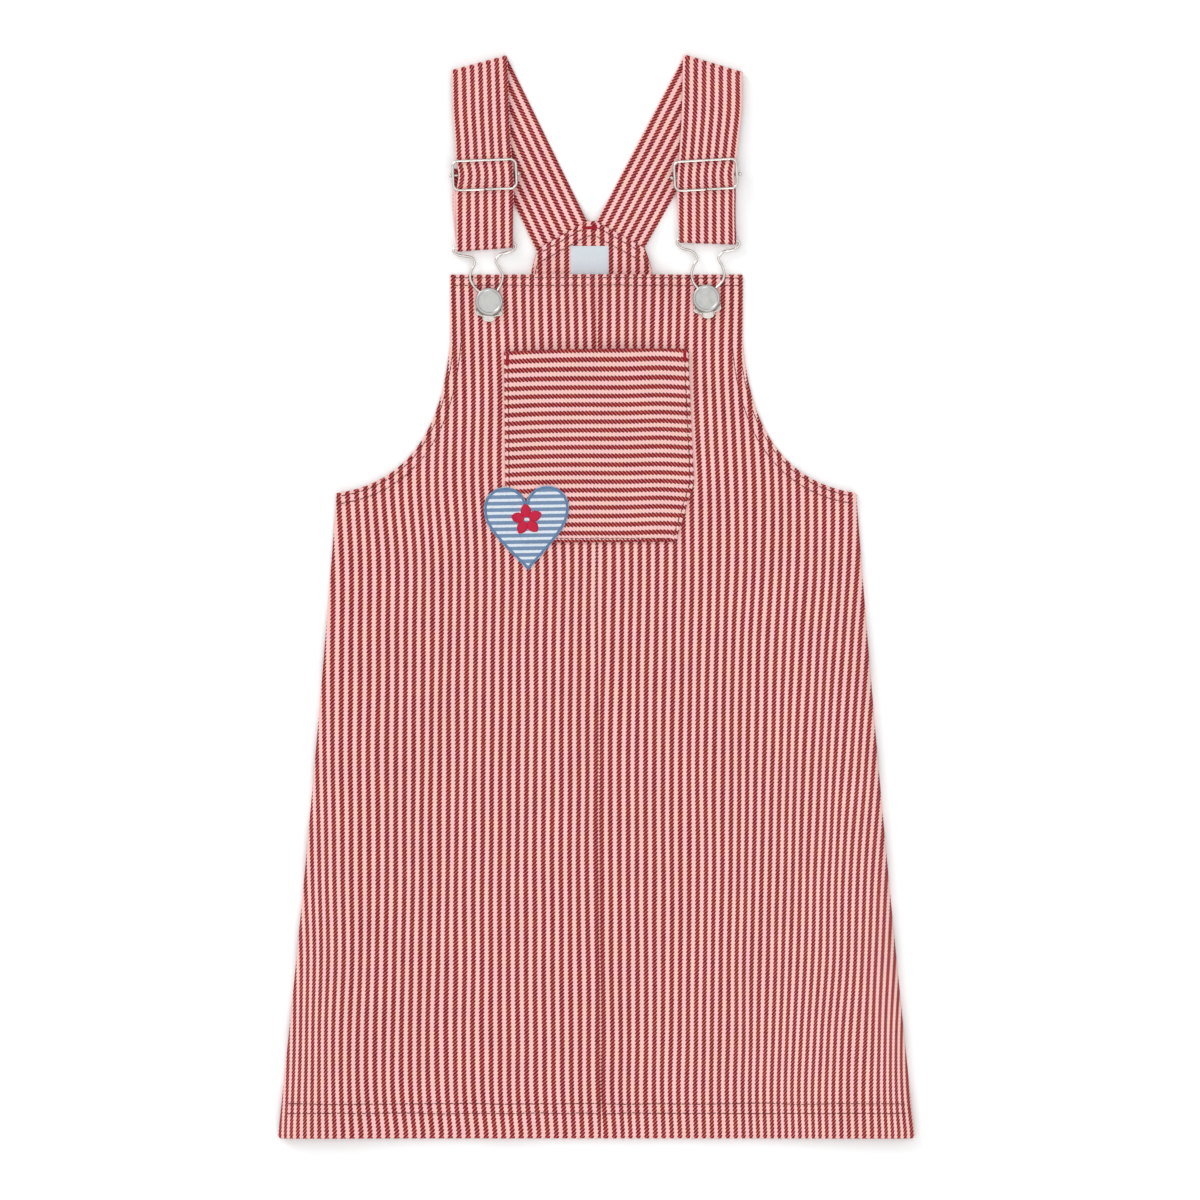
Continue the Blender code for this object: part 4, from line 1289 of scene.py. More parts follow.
@dataclass
class Pocket:
    """Patch pocket over the centre seam, its stripes running across."""

    finish: TwillFinish
    front: Height
    top: tuple = ((-57.3, 151.7), (56.7, 153.3))
    bend: tuple = ((-56.5, 67.1), (60.5, 70.5))
    low: tuple = ((-45.6, 33.2), (49.3, 33.8))
    lift: float = 0.25
    gape: float = 2.3                         # how far the mouth stands off
    edge_row: float = 2.4
    tilt: float = 0.0115
    mouth_rise: float = 0.8                   # bow of the mouth's edge
    wave: tuple = ((-57.0, -0.4), (-38.0, 0.2), (-12.0, 0.35), (18.0, 0.1), (42.0, 0.35), (57.0, -0.55))
    stripe_marks: tuple = ((152.0, 0.0), (129.1, 4.0), (33.6, 22.0))  # y of a stripe and its number
    tacks: tuple = (                          # name, both ends and width
        ("pocket_tack_left", ((-55.0, 149.6), (-55.3, 142.8)), 1.9),
        ("pocket_tack_right", ((54.6, 152.4), (54.9, 145.6)), 1.9),
    )

    @property
    def top_y(self) -> float:
        """Middle of the mouth's edge."""
        return (self.top[0][1] + self.top[1][1]) / 2

    @property
    def low_y(self) -> float:
        """Middle of the bottom edge."""
        return (self.low[0][1] + self.low[1][1]) / 2

    def edge_x(self, y: Array, side: int) -> Array:
        """X of one side edge at height y, 0 for left and 1 for right."""
        rows = [self.low[side], self.bend[side], self.top[side]]
        return np.interp(y, [row[1] for row in rows], [row[0] for row in rows])

    def base_height(self, x: Array, y: Array) -> Array:
        """Height of the underside, which stands off the front at the mouth.

        Args:
            x: Places across.
            y: Places along.

        Returns:
            The height at each place.
        """
        side = np.minimum(x - self.edge_x(y, 0), self.edge_x(y, 1) - x)
        mouth = (0.35 + 0.65 * blend(side, 0.0, 30.0)) * (1.0 - blend(self.top_y - y, 0.0, 50.0))
        return self.front(x, y) + self.lift + self.gape * mouth

    def height(self, x: Array, y: Array) -> Array:
        """Height of the pocket's upper face.

        Args:
            x: Places across.
            y: Places along.

        Returns:
            The height at each place.
        """
        x, y = np.asarray(x, float), np.asarray(y, float)
        side = np.minimum(x - self.edge_x(y, 0), self.edge_x(y, 1) - x)
        bottom, top = y - self.low_y, self.top_y - y
        edge = np.minimum(side, bottom)
        rise = self.base_height(x, y) + WALL * 0.9
        rise = rise + 0.25 * (1 - blend(edge, 6.0, 7.5)) + 0.25 * (1 - blend(top, 12.0, 13.5))
        rise = rise - 0.26 * bump_at(edge - self.edge_row, 0.8)
        rise = rise + 0.10 * ripple(x, y, 8.0, 161) * bump_at(edge - 3.0, 5.0)
        return rise - 0.45 * (1.0 - blend(np.minimum(edge, top), 0.0, 0.8))

    def build(self) -> Piece:
        """Builds the pocket and hides its imported solid.

        Returns:
            The new object.
        """
        top_y, low_y = self.top_y, self.low_y
        ends = np.array([0.0, 0.2, 0.5, 0.9])
        rows = np.concatenate([top_y - ends, np.arange(top_y - 1.8, low_y + 1.8, -1.1), (low_y + ends)[::-1]])
        rim = np.array([0.0, 0.002, 0.005, 0.009])
        shares = np.concatenate([rim, np.linspace(0.018, 0.982, 96), 1.0 - rim[::-1]])
        left, right = self.edge_x(rows, 0), self.edge_x(rows, 1)
        x = mix(left[:, None], right[:, None], shares)
        lean = np.interp(rows, [low_y, top_y], [0.006, 0.0141])
        bow = self.mouth_rise * blend(rows, top_y - 30.0, top_y)
        y = rows[:, None] + lean[:, None] * x + bow[:, None] * (1.0 - (x / self.top[1][0]) ** 2)
        upper = stacked(x, y, self.height(x, rows[:, None] + 0 * x))
        lower = stacked(x, y, self.base_height(x, y))
        marks = np.array(self.stripe_marks)[::-1]
        wave = np.array(self.wave)
        level = y - self.tilt * x - through(wave[:, 0], wave[:, 1], x)
        stripes = np.interp(level, marks[:, 0], marks[:, 1]) + np.maximum(level - marks[-1, 0], 0) / -STRIPE
        stripes = stripes + 0.03 * ripple(x * 0.2, y, 24.0, 171)
        cloth = stacked(stripes, x, 170.0)
        piece = make_shell("pocket_cloth", upper, lower, self.finish.material("pocket_twill"), cloth)
        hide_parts("pocket")
        return piece

    def stitch_lines(self) -> list[Array]:
        """One row round the sides and the bottom.

        Returns:
            A line of points for each row.
        """
        y = np.linspace(150.5, 71.0, 40)
        left = np.stack([self.edge_x(y, 0) + self.edge_row, y], axis=1)
        right = np.stack([self.edge_x(y, 1) - self.edge_row, y], axis=1)
        down = np.linspace(67.0, 37.0, 14)
        low_left = np.stack([self.edge_x(down, 0) + self.edge_row * 1.05, down], axis=1)
        low_right = np.stack([self.edge_x(down, 1) - self.edge_row * 1.05, down], axis=1)
        bottom = np.stack([np.linspace(-42.0, 46.0, 30), np.full(30, self.low_y + self.edge_row)], axis=1)
        return [np.concatenate([left, low_left]), np.concatenate([right, low_right]), bottom]


@dataclass
class Heart:
    """Applique heart over the pocket's corner, with a satin-stitched edge and a small flower."""

    finish: StripedSatinFinish
    edge_thread: ThreadFinish
    flower_thread: ThreadFinish
    below: Height
    middle: tuple = (-43.2, 46.0)
    tilt: float = 1.8
    lobe_radius: float = 13.3
    lobe_spread: float = 13.0
    lobe_rise: float = 8.7
    lobe_end_turn: float = -11.0
    side: tuple = ((26.1, 6.2), (25.8, -2.5), (16.7, -12.4), (0.0, -29.7))
    wall: float = 0.8
    stripe: float = 4.0
    first_white: float = 17.7                 # above the middle
    edge_width: float = 2.1
    edge_height: float = 0.55
    petals: int = 5
    petal_length: float = 8.2
    petal_width: float = 6.6

    def outline(self) -> Array:
        """Points once round the heart, from its notch over the right lobe.

        Returns:
            The points in order.
        """
        notch = math.degrees(math.acos(-self.lobe_spread / self.lobe_radius))
        turns = np.radians(np.linspace(notch, self.lobe_end_turn, 60, endpoint=False))
        lobe = np.stack([self.lobe_spread + self.lobe_radius * np.cos(turns),
                         self.lobe_rise + self.lobe_radius * np.sin(turns)], axis=1)
        half = np.concatenate([lobe, bezier(self.side, np.linspace(0.0, 1.0, 60))])
        half[0, 0] = 0.0
        whole = np.concatenate([half, (half * (-1.0, 1.0))[-2:0:-1]])
        turn = math.radians(self.tilt)
        turned = np.stack([whole[:, 0] * math.cos(turn) - whole[:, 1] * math.sin(turn),
                           whole[:, 0] * math.sin(turn) + whole[:, 1] * math.cos(turn)], axis=1)
        return turned + self.middle

    def height(self, x: Array, y: Array) -> Array:
        """Height of the patch's upper face."""
        return self.below(x, y) + self.wall

    def build(self) -> list[Piece]:
        """Builds the patch, its edge and the flower.

        Returns:
            The new objects.
        """
        outline = self.outline()
        scales = np.concatenate([[1.0, 0.985], np.linspace(0.94, 0.03, 22)])
        centre = np.array(self.middle)
        rings = centre + (outline - centre) * scales[:, None, None]
        count = len(outline)
        flat = np.concatenate([rings.reshape(-1, 2), centre[None]])
        base = self.below(flat[:, 0], flat[:, 1])
        top = np.column_stack([flat, base + self.wall + 0.05 * ripple(flat[:, 0], flat[:, 1], 9.0, 181)])
        low = np.column_stack([flat, base + 0.03])
        last = len(flat) - 1
        total = len(flat)
        faces = []
        for k in range(count):
            after = (k + 1) % count
            for ring in range(len(scales) - 1):
                a, b = ring * count, (ring + 1) * count
                faces.append([a + k, a + after, b + after, b + k])
                faces.append([total + b + k, total + b + after, total + a + after, total + a + k])
            inner = (len(scales) - 1) * count
            faces.append([inner + k, inner + after, last])
            faces.append([total + inner + after, total + inner + k, total + last])
            faces.append([k, total + k, total + after, after])
        lean = flat[:, 1] - centre[1] - 0.016 * (flat[:, 0] - centre[0])
        stripes = (self.first_white - lean) / self.stripe
        places = np.column_stack([stripes, flat[:, 0], np.full(len(flat), 3.0)])
        patch = make_object(
            "heart_cloth", np.concatenate([top, low]), faces, self.finish.material("heart_stripes"),
            np.concatenate([places, places]),
        )
        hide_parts("heart_patch")
        return [patch, self.build_edge(outline), self.build_flower()]

    def build_edge(self, outline: Array) -> Piece:
        """Dense satin stitching over the patch's raw edge.

        Args:
            outline: The heart's outline.

        Returns:
            The new object.
        """
        path, reach = resample(np.concatenate([outline, outline[:1]]), 0.42)
        path, reach = path[:-1], reach[:-1]
        way = np.roll(path, -1, axis=0) - np.roll(path, 1, axis=0)
        way /= np.linalg.norm(way, axis=1)[:, None]
        outward = np.stack([way[:, 1], -way[:, 0]], axis=1)
        if np.dot(outward[30], path[30] - np.array(self.middle)) < 0:
            outward = -outward
        turns = np.radians(np.linspace(0.0, 180.0, 9))
        draw = np.random.default_rng(191)
        ridge = 1.0 + 0.10 * (np.arange(len(path)) % 2) + draw.normal(0.0, 0.03, len(path))
        half = self.edge_width / 2
        spots, levels = [], []
        for turn in turns:
            spots.append(path + outward * (half * math.cos(turn) - half + 0.1))
            levels.append(math.sin(turn) * self.edge_height * ridge)
        spots = np.stack(spots, axis=1)
        base = self.below(spots[..., 0], spots[..., 1])
        top = base + self.wall * 0.55 + np.stack(levels, axis=1)
        upper = np.concatenate([spots, top[..., None]], axis=2)
        lower = np.concatenate([spots, base[..., None]], axis=2)[:, [7, 4, 1]]
        ring = np.concatenate([upper, lower], axis=1)
        columns, count = ring.shape[1], len(path)
        cloth = stacked(reach[:, None], np.arange(columns), 0.0)
        return make_object(
            "heart_edge_stitching", ring.reshape(-1, 3), tube_faces(count, columns, True),
            self.edge_thread.material("heart_edge_thread"), cloth.reshape(-1, 3), 70.0,
        )

    def build_flower(self) -> Piece:
        """A small five-petalled flower in satin stitch.

        Returns:
            The new object.
        """
        points, faces, cloth = [], [], []
        centre = np.array(self.middle) + (0.0, 1.5)
        for petal in range(self.petals):
            turn = math.radians(90.0 + 360.0 / self.petals * petal + 6.0)
            out = np.array([math.cos(turn), math.sin(turn)])
            across = np.array([-out[1], out[0]])
            rows, columns = 27, 9
            first = len(points)
            for level in (1.0, 0.0):
                for i in range(rows):
                    share = i / (rows - 1)
                    along = 1.6 + share * self.petal_length
                    swell = math.sin(math.pi * min(0.06 + share * 0.94, 0.985)) ** 0.62
                    wide = self.petal_width / 2 * swell
                    for j in range(columns):
                        offset = (j / (columns - 1) - 0.5) * 2
                        spot = centre + out * along + across * offset * wide
                        dome = math.sqrt(max(1.0 - offset**2, 0.0)) * min(1.0, wide / 1.5)
                        rise = level * (0.08 + 0.62 * dome * (1.0 + 0.12 * (i % 2)))
                        points.append((spot[0], spot[1], rise - (1 - level) * 0.3))
                        cloth.append((along / 0.62, offset, petal))
            faces += [[first + index for index in face] for face in shell_faces(rows, columns)]
        places = np.array(points)
        places[:, 2] += self.height(places[:, 0], places[:, 1])
        return make_object(
            "heart_flower_stitching", places, faces, self.flower_thread.material("flower_thread"),
            np.array(cloth), 70.0,
        )


@dataclass
class Strap:
    """Flat tube of twill: up from the yoke, over, through the slider and round the hook."""

    side: Side
    finish: TwillFinish
    yoke: tuple                               # inner and outer end below the facing
    fold: tuple                               # inner and outer end of the top fold
    leg: tuple                                # rows down the front: inner x, y, outer x, y, z
    back_up: tuple                            # the same, from the hook back to the slider
    back_stripes: tuple                       # share of the first red stripe, and the spacing
    leg_stripes: tuple
    plumb: tuple                              # x that the stripes keep to below the slider
    tight: float = 0.0                        # stripes by which the outer edge is pulled round
    pulled: tuple = (0.958, 0.972)            # shares of the width where that starts and is whole
    eased: tuple = (256.0, 250.0)             # y where the stripes start to keep plumb, and do
    nominal: float = 36.0                     # width that the rim is divided at
    wall: float = 1.5
    fold_radius: float = 1.35
    hook_z: float = 2.7
    hook_turn: float = 1.75
    columns: int = 30

    def rulings(self) -> tuple[Array, Array, Array]:
        """Edge points along the strap, from the yoke to its end.

        Returns:
            Inner points, outer points, and 0 on the back leg, 1 past the fold.
        """
        yoke, fold = np.array(self.yoke), np.array(self.fold)
        length = float(np.linalg.norm(fold.sum(axis=0) - yoke.sum(axis=0)) / 2)
        distance = np.concatenate([np.linspace(0.0, 26.0, 20), np.arange(29.0, length, 3.0), [length]])
        z = mix(FORM.layer_lift + self.wall / 2, self.wall / 2, blend(distance, 11.5, 24.0))
        share = (distance / length)[:, None]
        parts = [tuple(np.column_stack([mix(yoke[end], fold[end], share), z]) for end in (0, 1))]
        parts.append(self.turn(fold[0], fold[1], self.wall / 2 + self.fold_radius, self.fold_radius, 1))
        top_z = self.wall / 2 + 2 * self.fold_radius
        parts.append(self.stretch(((*fold[0], *fold[1], top_z), *self.leg)))
        last = np.array(self.leg[-1])
        parts.append(self.turn(last[0:2], last[2:4], self.hook_z, self.hook_turn, -1))
        parts.append(self.stretch(self.back_up))
        inner = np.concatenate([part[0] for part in parts])
        outer = np.concatenate([part[1] for part in parts])
        front = np.concatenate([np.full(len(part[0]), min(i, 2) / 2) for i, part in enumerate(parts)])
        return inner, outer, front

    def turn(self, inner: Array, outer: Array, z: float, radius: float, up: int) -> tuple[Array, Array]:
        """Rulings round a half turn about a line.

        Args:
            inner: Inner end of the line.
            outer: Outer end of the line.
            z: Height of the turn's middle.
            radius: Radius of the middle of the cloth.
            up: 1 where the turn climbs towards +Y, -1 where it falls towards -Y.

        Returns:
            Inner and outer points.
        """
        along = (outer - inner) / np.linalg.norm(outer - inner)
        square = np.array([-along[1], along[0]])
        square = square * up * (1 if square[1] > 0 else -1)
        angles = np.pi * (np.arange(1, 14) / 14 - 0.5) * up
        shift = radius * np.cos(angles)[:, None] * square
        level = (z + radius * np.sin(angles))[:, None]
        return np.hstack([inner + shift, level]), np.hstack([outer + shift, level])

    def stretch(self, rows: Sequence[Sequence[float]]) -> tuple[Array, Array]:
        """Rulings along table rows, eased so that the cloth bends softly.

        Args:
            rows: Inner x, y, outer x, y and height.

        Returns:
            Inner and outer points.
        """
        table = np.array(rows, float)
        middle = (table[:, 0:2] + table[:, 2:4]) / 2
        knots = reach_along(middle)
        spans = [np.linspace(a, b, max(int((b - a) / 1.3), 2)) for a, b in zip(knots, knots[1:])]
        at = np.unique(np.concatenate(spans))
        edges = [through(knots, table[:, k], at) for k in range(4)]
        left = np.clip(np.searchsorted(knots, at, side="right") - 1, 0, len(knots) - 2)
        t = (at - knots[left]) / (knots[left + 1] - knots[left])
        z = mix(table[left, 4], table[left + 1, 4], t * t * (3 - 2 * t))
        return np.column_stack([edges[0], edges[1], z]), np.column_stack([edges[2], edges[3], z])

    def build(self) -> Piece:
        """Builds the strap and hides its imported solid.

        Returns:
            The new object.
        """
        inner, outer, front = self.rulings()
        middle = (inner + outer) / 2
        along = np.gradient(middle, axis=0)
        across = outer - inner
        normal = np.cross(along, across)
        normal /= np.linalg.norm(normal, axis=1)[:, None]
        rim = np.array([0.0, 0.06, 0.2, 0.45, 0.8]) / self.nominal
        shares = np.concatenate([rim, np.linspace(0.06, 0.94, self.columns), 1.0 - rim[::-1]])
        depth = np.minimum(shares, 1.0 - shares) * self.nominal
        edge = np.sqrt(np.clip(1.0 - (1.0 - np.clip(depth / 0.8, 0.0, 1.0)) ** 2, 0.01, 1.0))
        reach = reach_along(middle)
        spots = shares[None, :] * self.nominal
        soft = 0.04 * ripple(spots, reach[:, None] * 0.6, 14.0, 201 + self.side.sign)
        half = (self.wall / 2 - 0.03) * edge + soft * blend(depth, 0.5, 5.0)
        centre = inner[:, None] + across[:, None] * shares[None, :, None]
        upper = centre + normal[:, None] * half[..., None]
        lower = centre - normal[:, None] * half[..., None]
        wobble = 0.02 * ripple(spots / 4, reach[:, None] * 0.3, 16.0, 211 + self.side.sign)
        below = (blend(inner[:, 1], *self.eased) * (front == 1.0))[:, None]
        plumb = (centre[..., 0] - self.plumb[0]) / (self.plumb[1] - self.plumb[0])
        wobble = wobble + self.tight * below * blend(shares, *self.pulled)
        cloths = []
        for first, gap in (self.back_stripes, self.leg_stripes)[::-self.side.sign]:
            count = (mix(shares[None, :], plumb, below) - first) / gap + wobble
            cloths.append(stacked(count, reach[:, None], 230.0))
        piece = make_shell(
            "strap_" + self.side.value + "_cloth", upper, lower,
            self.finish.material("strap_" + self.side.value + "_twill"), cloths[0], cloths[1],
        )
        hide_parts("strap_" + self.side.value)
        return piece


# ---- metal
@dataclass
class Slider:
    """Rounded rectangle of wire with a centre bar that ends in balls."""

    side: Side
    finish: MetalFinish
    middle: tuple
    width: float
    tilt: float
    bar: tuple
    height: float = 18.1
    corner: float = 3.7
    wire: float = 0.86
    ball: float = 1.3
    frame_z: float = 6.08
    bar_z: float = 4.45
    joint: float = 0.16                       # where the ends of the bent wire meet

    def build(self) -> list[Piece]:
        """Builds the frame and the bar.

        Returns:
            The new objects.
        """
        turn = math.radians(self.tilt)
        half_width, half_height = self.width / 2, self.height / 2
        path = [(self.joint / 2, -half_height)]
        for quarter in (3, 0, 1, 2):
            sign_x = 1 if quarter in (0, 3) else -1
            sign_y = 1 if quarter in (0, 1) else -1
            for step in range(13):
                angle = math.pi / 2 * (quarter + step / 12)
                path.append((sign_x * (half_width - self.corner) + self.corner * math.cos(angle),
                             sign_y * (half_height - self.corner) + self.corner * math.sin(angle)))
        path.append((-self.joint / 2, -half_height))
        path = np.array(path)
        x = self.middle[0] + path[:, 0] * math.cos(turn) - path[:, 1] * math.sin(turn)
        y = self.middle[1] + path[:, 0] * math.sin(turn) + path[:, 1] * math.cos(turn)
        loop = make_wire(
            "slider_" + self.side.value + "_wire", np.column_stack([x, y, np.full(len(x), self.frame_z)]),
            self.wire, self.finish.material("slider_" + self.side.value + "_plating"),
        )
        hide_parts("slider_" + self.side.value)
        return [loop, self.build_bar()]

    def build_bar(self) -> Piece:
        """The centre bar, a ball at each end.

        Returns:
            The new object.
        """
        start, end = np.array([*self.bar[0], self.bar_z]), np.array([*self.bar[1], self.bar_z])
        along = (end - start) / np.linalg.norm(end - start)
        neck = 90.0 - math.degrees(math.asin(self.wire / self.ball))
        turns = np.radians([-84.0, -70.0, -52.0, -32.0, -12.0, 8.0, 28.0, neck])
        head = [start + along * self.ball * math.sin(turn) for turn in turns]
        tail = [end - along * self.ball * math.sin(turn) for turn in turns[::-1]]
        radii = self.ball * np.cos(turns)
        bar = make_wire(
            "slider_bar_" + self.side.value + "_wire", np.array(head + tail),
            np.concatenate([radii, radii[::-1]]),
            self.finish.material("slider_bar_" + self.side.value + "_plating"), 18, round_ends=False,
        )
        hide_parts("slider_bar_" + self.side.value)
        return bar


@dataclass
class Hook:
    """Wire hook on its scalloped keyhole plate, hung on a tack button."""

    side: Side
    finish: MetalFinish
    button_finish: MetalFinish
    route: tuple
    middle: tuple
    turn: float
    wire: float = 0.82
    wire_z: float = 2.7
    plate_z: float = 1.95
    plate_wall: float = 0.85
    plate_hole: float = 3.4
    plate_bead: float = 0.32                  # height of its rolled edge
    plate_edge: tuple = (                     # degrees from the lowest point, and radius there
        (0.0, 12.6), (14.0, 12.2), (26.0, 10.2), (36.0, 10.9), (48.0, 11.3), (60.0, 9.6), (74.0, 7.6),
        (100.0, 6.6), (128.0, 6.2), (146.0, 5.6), (163.0, 4.9), (180.0, 4.7),
    )
    cap: tuple = (                            # radius, and height over the cap's underside
        (7.4, 0.0), (8.0, 0.16), (8.35, 0.5), (8.5, 0.9), (8.42, 1.25), (8.15, 1.55),
        (7.75, 1.72), (7.35, 1.72), (7.0, 1.58), (6.7, 1.34), (6.35, 1.22), (5.9, 1.22),
        (5.6, 1.30), (3.4, 1.38), (1.5, 1.41), (0.0, 1.42),
    )
    shank_radius: float = 2.8
    cap_z: float = 3.7

    def wire_path(self) -> Array:
        """Smooth middle line of the bent wire.

        Returns:
            Its points.
        """
        points = np.array(self.route, float)
        reach = np.linalg.norm(np.diff(points, axis=0), axis=1)
        ways = np.diff(points, axis=0) / reach[:, None]
        tangents = np.empty_like(points)
        tangents[0], tangents[-1] = ways[0], ways[-1]
        weights = reach[1:] / (reach[1:] + reach[:-1])
        tangents[1:-1] = ways[:-1] * weights[:, None] + ways[1:] * (1 - weights)[:, None]
        path = []
        for i, length in enumerate(reach):
            steps = max(1, round(length / 0.8))
            for t in np.arange(steps) / steps:
                spot = points[i] * (2 * t**3 - 3 * t**2 + 1) + points[i + 1] * (3 * t**2 - 2 * t**3)
                spot = spot + length * (tangents[i] * (t**3 - 2 * t**2 + t) + tangents[i + 1] * (t**3 - t**2))
                path.append(spot)
        path.append(points[-1])
        path = np.array(path)
        return np.column_stack([path, np.full(len(path), self.wire_z)])

    def build(self) -> list[Piece]:
        """Builds the hook, its plate and the button.

        Returns:
            The new objects.
        """
        side = self.side.value
        wire = make_wire("hook_" + side + "_wire", self.wire_path(), self.wire,
                         self.finish.material("hook_" + side + "_plating"))
        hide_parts("hook_" + side)
        return [wire, self.build_plate(), self.build_button()]

    def build_plate(self) -> Piece:
        """The stamped plate, its edge rolled over and a round hole for the shank.

        Returns:
            The new object.
        """
        angles = np.linspace(-180.0, 180.0, 132, endpoint=False)
        edge = through(*np.array(self.plate_edge).T, np.abs(angles))
        turns = np.radians(angles - 90.0 + self.turn)
        ways = np.stack([np.cos(turns), np.sin(turns)], axis=1)
        hole = np.full_like(edge, self.plate_hole)
        low, high, bead = self.plate_z, self.plate_z + self.plate_wall, self.plate_bead
        section = (
            (edge - 0.25, low), (edge, low + 0.25), (edge, high - 0.15), (edge - 0.2, high + bead * 0.7),
            (edge - 0.6, high + bead), (edge - 1.0, high + bead * 0.5), (edge - 1.3, high),
            (mix(edge, hole, 0.6), high), (hole + 0.2, high), (hole, high - 0.2), (hole, low),
        )
        rings = []
        for radius, z in section:
            rings.append(np.column_stack([self.middle + ways * radius[:, None], np.full_like(edge, z)]))
        plate = make_object(
            "hook_plate_" + self.side.value + "_metal", np.concatenate(rings),
            tube_faces(len(rings), len(angles), True),
            self.finish.material("hook_plate_" + self.side.value + "_plating"), None, 45.0,
        )
        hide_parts("hook_plate_" + self.side.value)
        return plate

    def build_button(self) -> Piece:
        """Tack button, turned, with a raised rim and a plain field.

        Returns:
            The new object.
        """
        foot = FORM.floor_lift + WALL + GAP
        profile = [(0.0, foot), (self.shank_radius, foot), (self.shank_radius, self.cap_z)]
        profile += [(radius, self.cap_z + rise) for radius, rise in self.cap]
        sides = 96
        turns = np.linspace(0, 2 * math.pi, sides, endpoint=False)
        points, rings, faces = [], [], []
        for radius, z in profile:
            spots = turns if radius > 0 else turns[:1]
            rings.append([len(points) + k for k in range(len(spots))])
            for turn in spots:
                way = (math.cos(turn), math.sin(turn))
                points.append((self.middle[0] + radius * way[0], self.middle[1] + radius * way[1], z))
        for first, second in zip(rings, rings[1:]):
            for k in range(sides):
                after = (k + 1) % sides
                corners = [first[k % len(first)], first[after % len(first)]]
                corners += [second[after % len(second)], second[k % len(second)]]
                faces.append(list(dict.fromkeys(corners)))
        button = make_object(
            "button_" + self.side.value + "_metal", np.array(points), faces,
            self.button_finish.material("button_" + self.side.value + "_plating"), None, 45.0,
        )
        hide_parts("button_" + self.side.value)
        return button


# ---- sewing
@dataclass
class Sewing:
    """Topstitching and bartacks over the whole dress."""

    thread: ThreadFinish
    tack_thread: ThreadFinish
    pitch: float = 3.1                        # from one stitch to the next
    length: float = 3.0                       # of the thread that shows
    radius: float = 0.3                       # half the thread's width
    sides: int = 6
    rings: tuple = (                          # share of half the length, height and thickness
        (-1.0, -0.16, 0.35), (-0.82, 0.04, 0.85), (-0.4, 0.13, 1.0), (0.0, 0.15, 1.0),
        (0.4, 0.13, 1.0), (0.82, 0.04, 0.85), (1.0, -0.16, 0.35),
    )

    def sew(self, name: str, lines: list[Array], height: Height, seed: int) -> Piece:
        """Rows of single stitches on a surface, joined into one object.

        Args:
            name: The piece's name.
            lines: Lines of (x, y) points that the stitches follow.
            height: Height of the cloth's surface.
            seed: Picks the small irregularities.

        Returns:
            The new object.
        """
        draw = np.random.default_rng(seed)
        shares, lifts, widths = np.array(self.rings).T
        turns = np.linspace(0, 2 * math.pi, self.sides, endpoint=False)
        points, faces, cloth = [], [], []
        for line in lines:
            places, _ = resample(line, self.pitch)
            middles = (places[:-1] + places[1:]) / 2
            ways = np.diff(places, axis=0)
            ways /= np.linalg.norm(ways, axis=1)[:, None]
            for middle, way in zip(middles, ways):
                half = self.length / 2 * draw.uniform(0.88, 1.08)
                lean = draw.normal(0.0, 0.035)
                way = np.array([way[0] - way[1] * lean, way[1] + way[0] * lean])
                across = np.array([-way[1], way[0], 0.0])
                spots = middle + draw.normal(0.0, 0.06, 2) + np.outer(shares * half, way)
                levels = height(spots[:, 0], spots[:, 1]) + lifts
                first = len(points)
                for spot, level, width in zip(spots, levels, widths):
                    for turn in turns:
                        point = np.array([*spot, level]) + across * math.cos(turn) * self.radius * width
                        point[2] += math.sin(turn) * self.radius * width * 0.8
                        points.append(point)
                        cloth.append((math.cos(turn), middle[0] + middle[1], first))
                faces += tube_faces(len(self.rings), self.sides, False, first)
        material = self.thread.material(name + "_thread")
        return make_object(name, np.array(points), faces, material, np.array(cloth))

    def tack(self, name: str, ends: tuple, height: Height, width: float) -> Piece:
        """A dense bar of stitches between two points.

        Args:
            name: The piece's name.
            ends: Its two ends.
            height: Height of the cloth below.
            width: Its width.

        Returns:
            The new object.
        """
        start, end = np.array(ends[0]), np.array(ends[1])
        path, reach = resample(np.array([start, end]), 0.36)
        way = (end - start) / np.linalg.norm(end - start)
        across = np.array([-way[1], way[0]])
        offsets = np.linspace(-1.0, 1.0, 9)
        spots = path[:, None] + across * (offsets * width / 2)[None, :, None]
        base = height(spots[..., 0], spots[..., 1])
        taper = np.minimum(1.0, np.minimum(reach, reach[-1] - reach) / 0.5)[:, None] * 0.8 + 0.2
        ridge = 1.0 + 0.18 * (np.arange(len(path)) % 2)[:, None]
        rise = 0.06 + 0.5 * np.sqrt(1.0 - offsets**2 * 0.98)[None] * ridge * taper
        cloth = stacked((reach / 0.72)[:, None], offsets, 0.0)
        upper = stacked(spots[..., 0], spots[..., 1], base + rise)
        lower = stacked(spots[..., 0], spots[..., 1], base - 0.15)
        return make_shell(name, upper, lower, self.tack_thread.material(name + "_thread"), cloth)


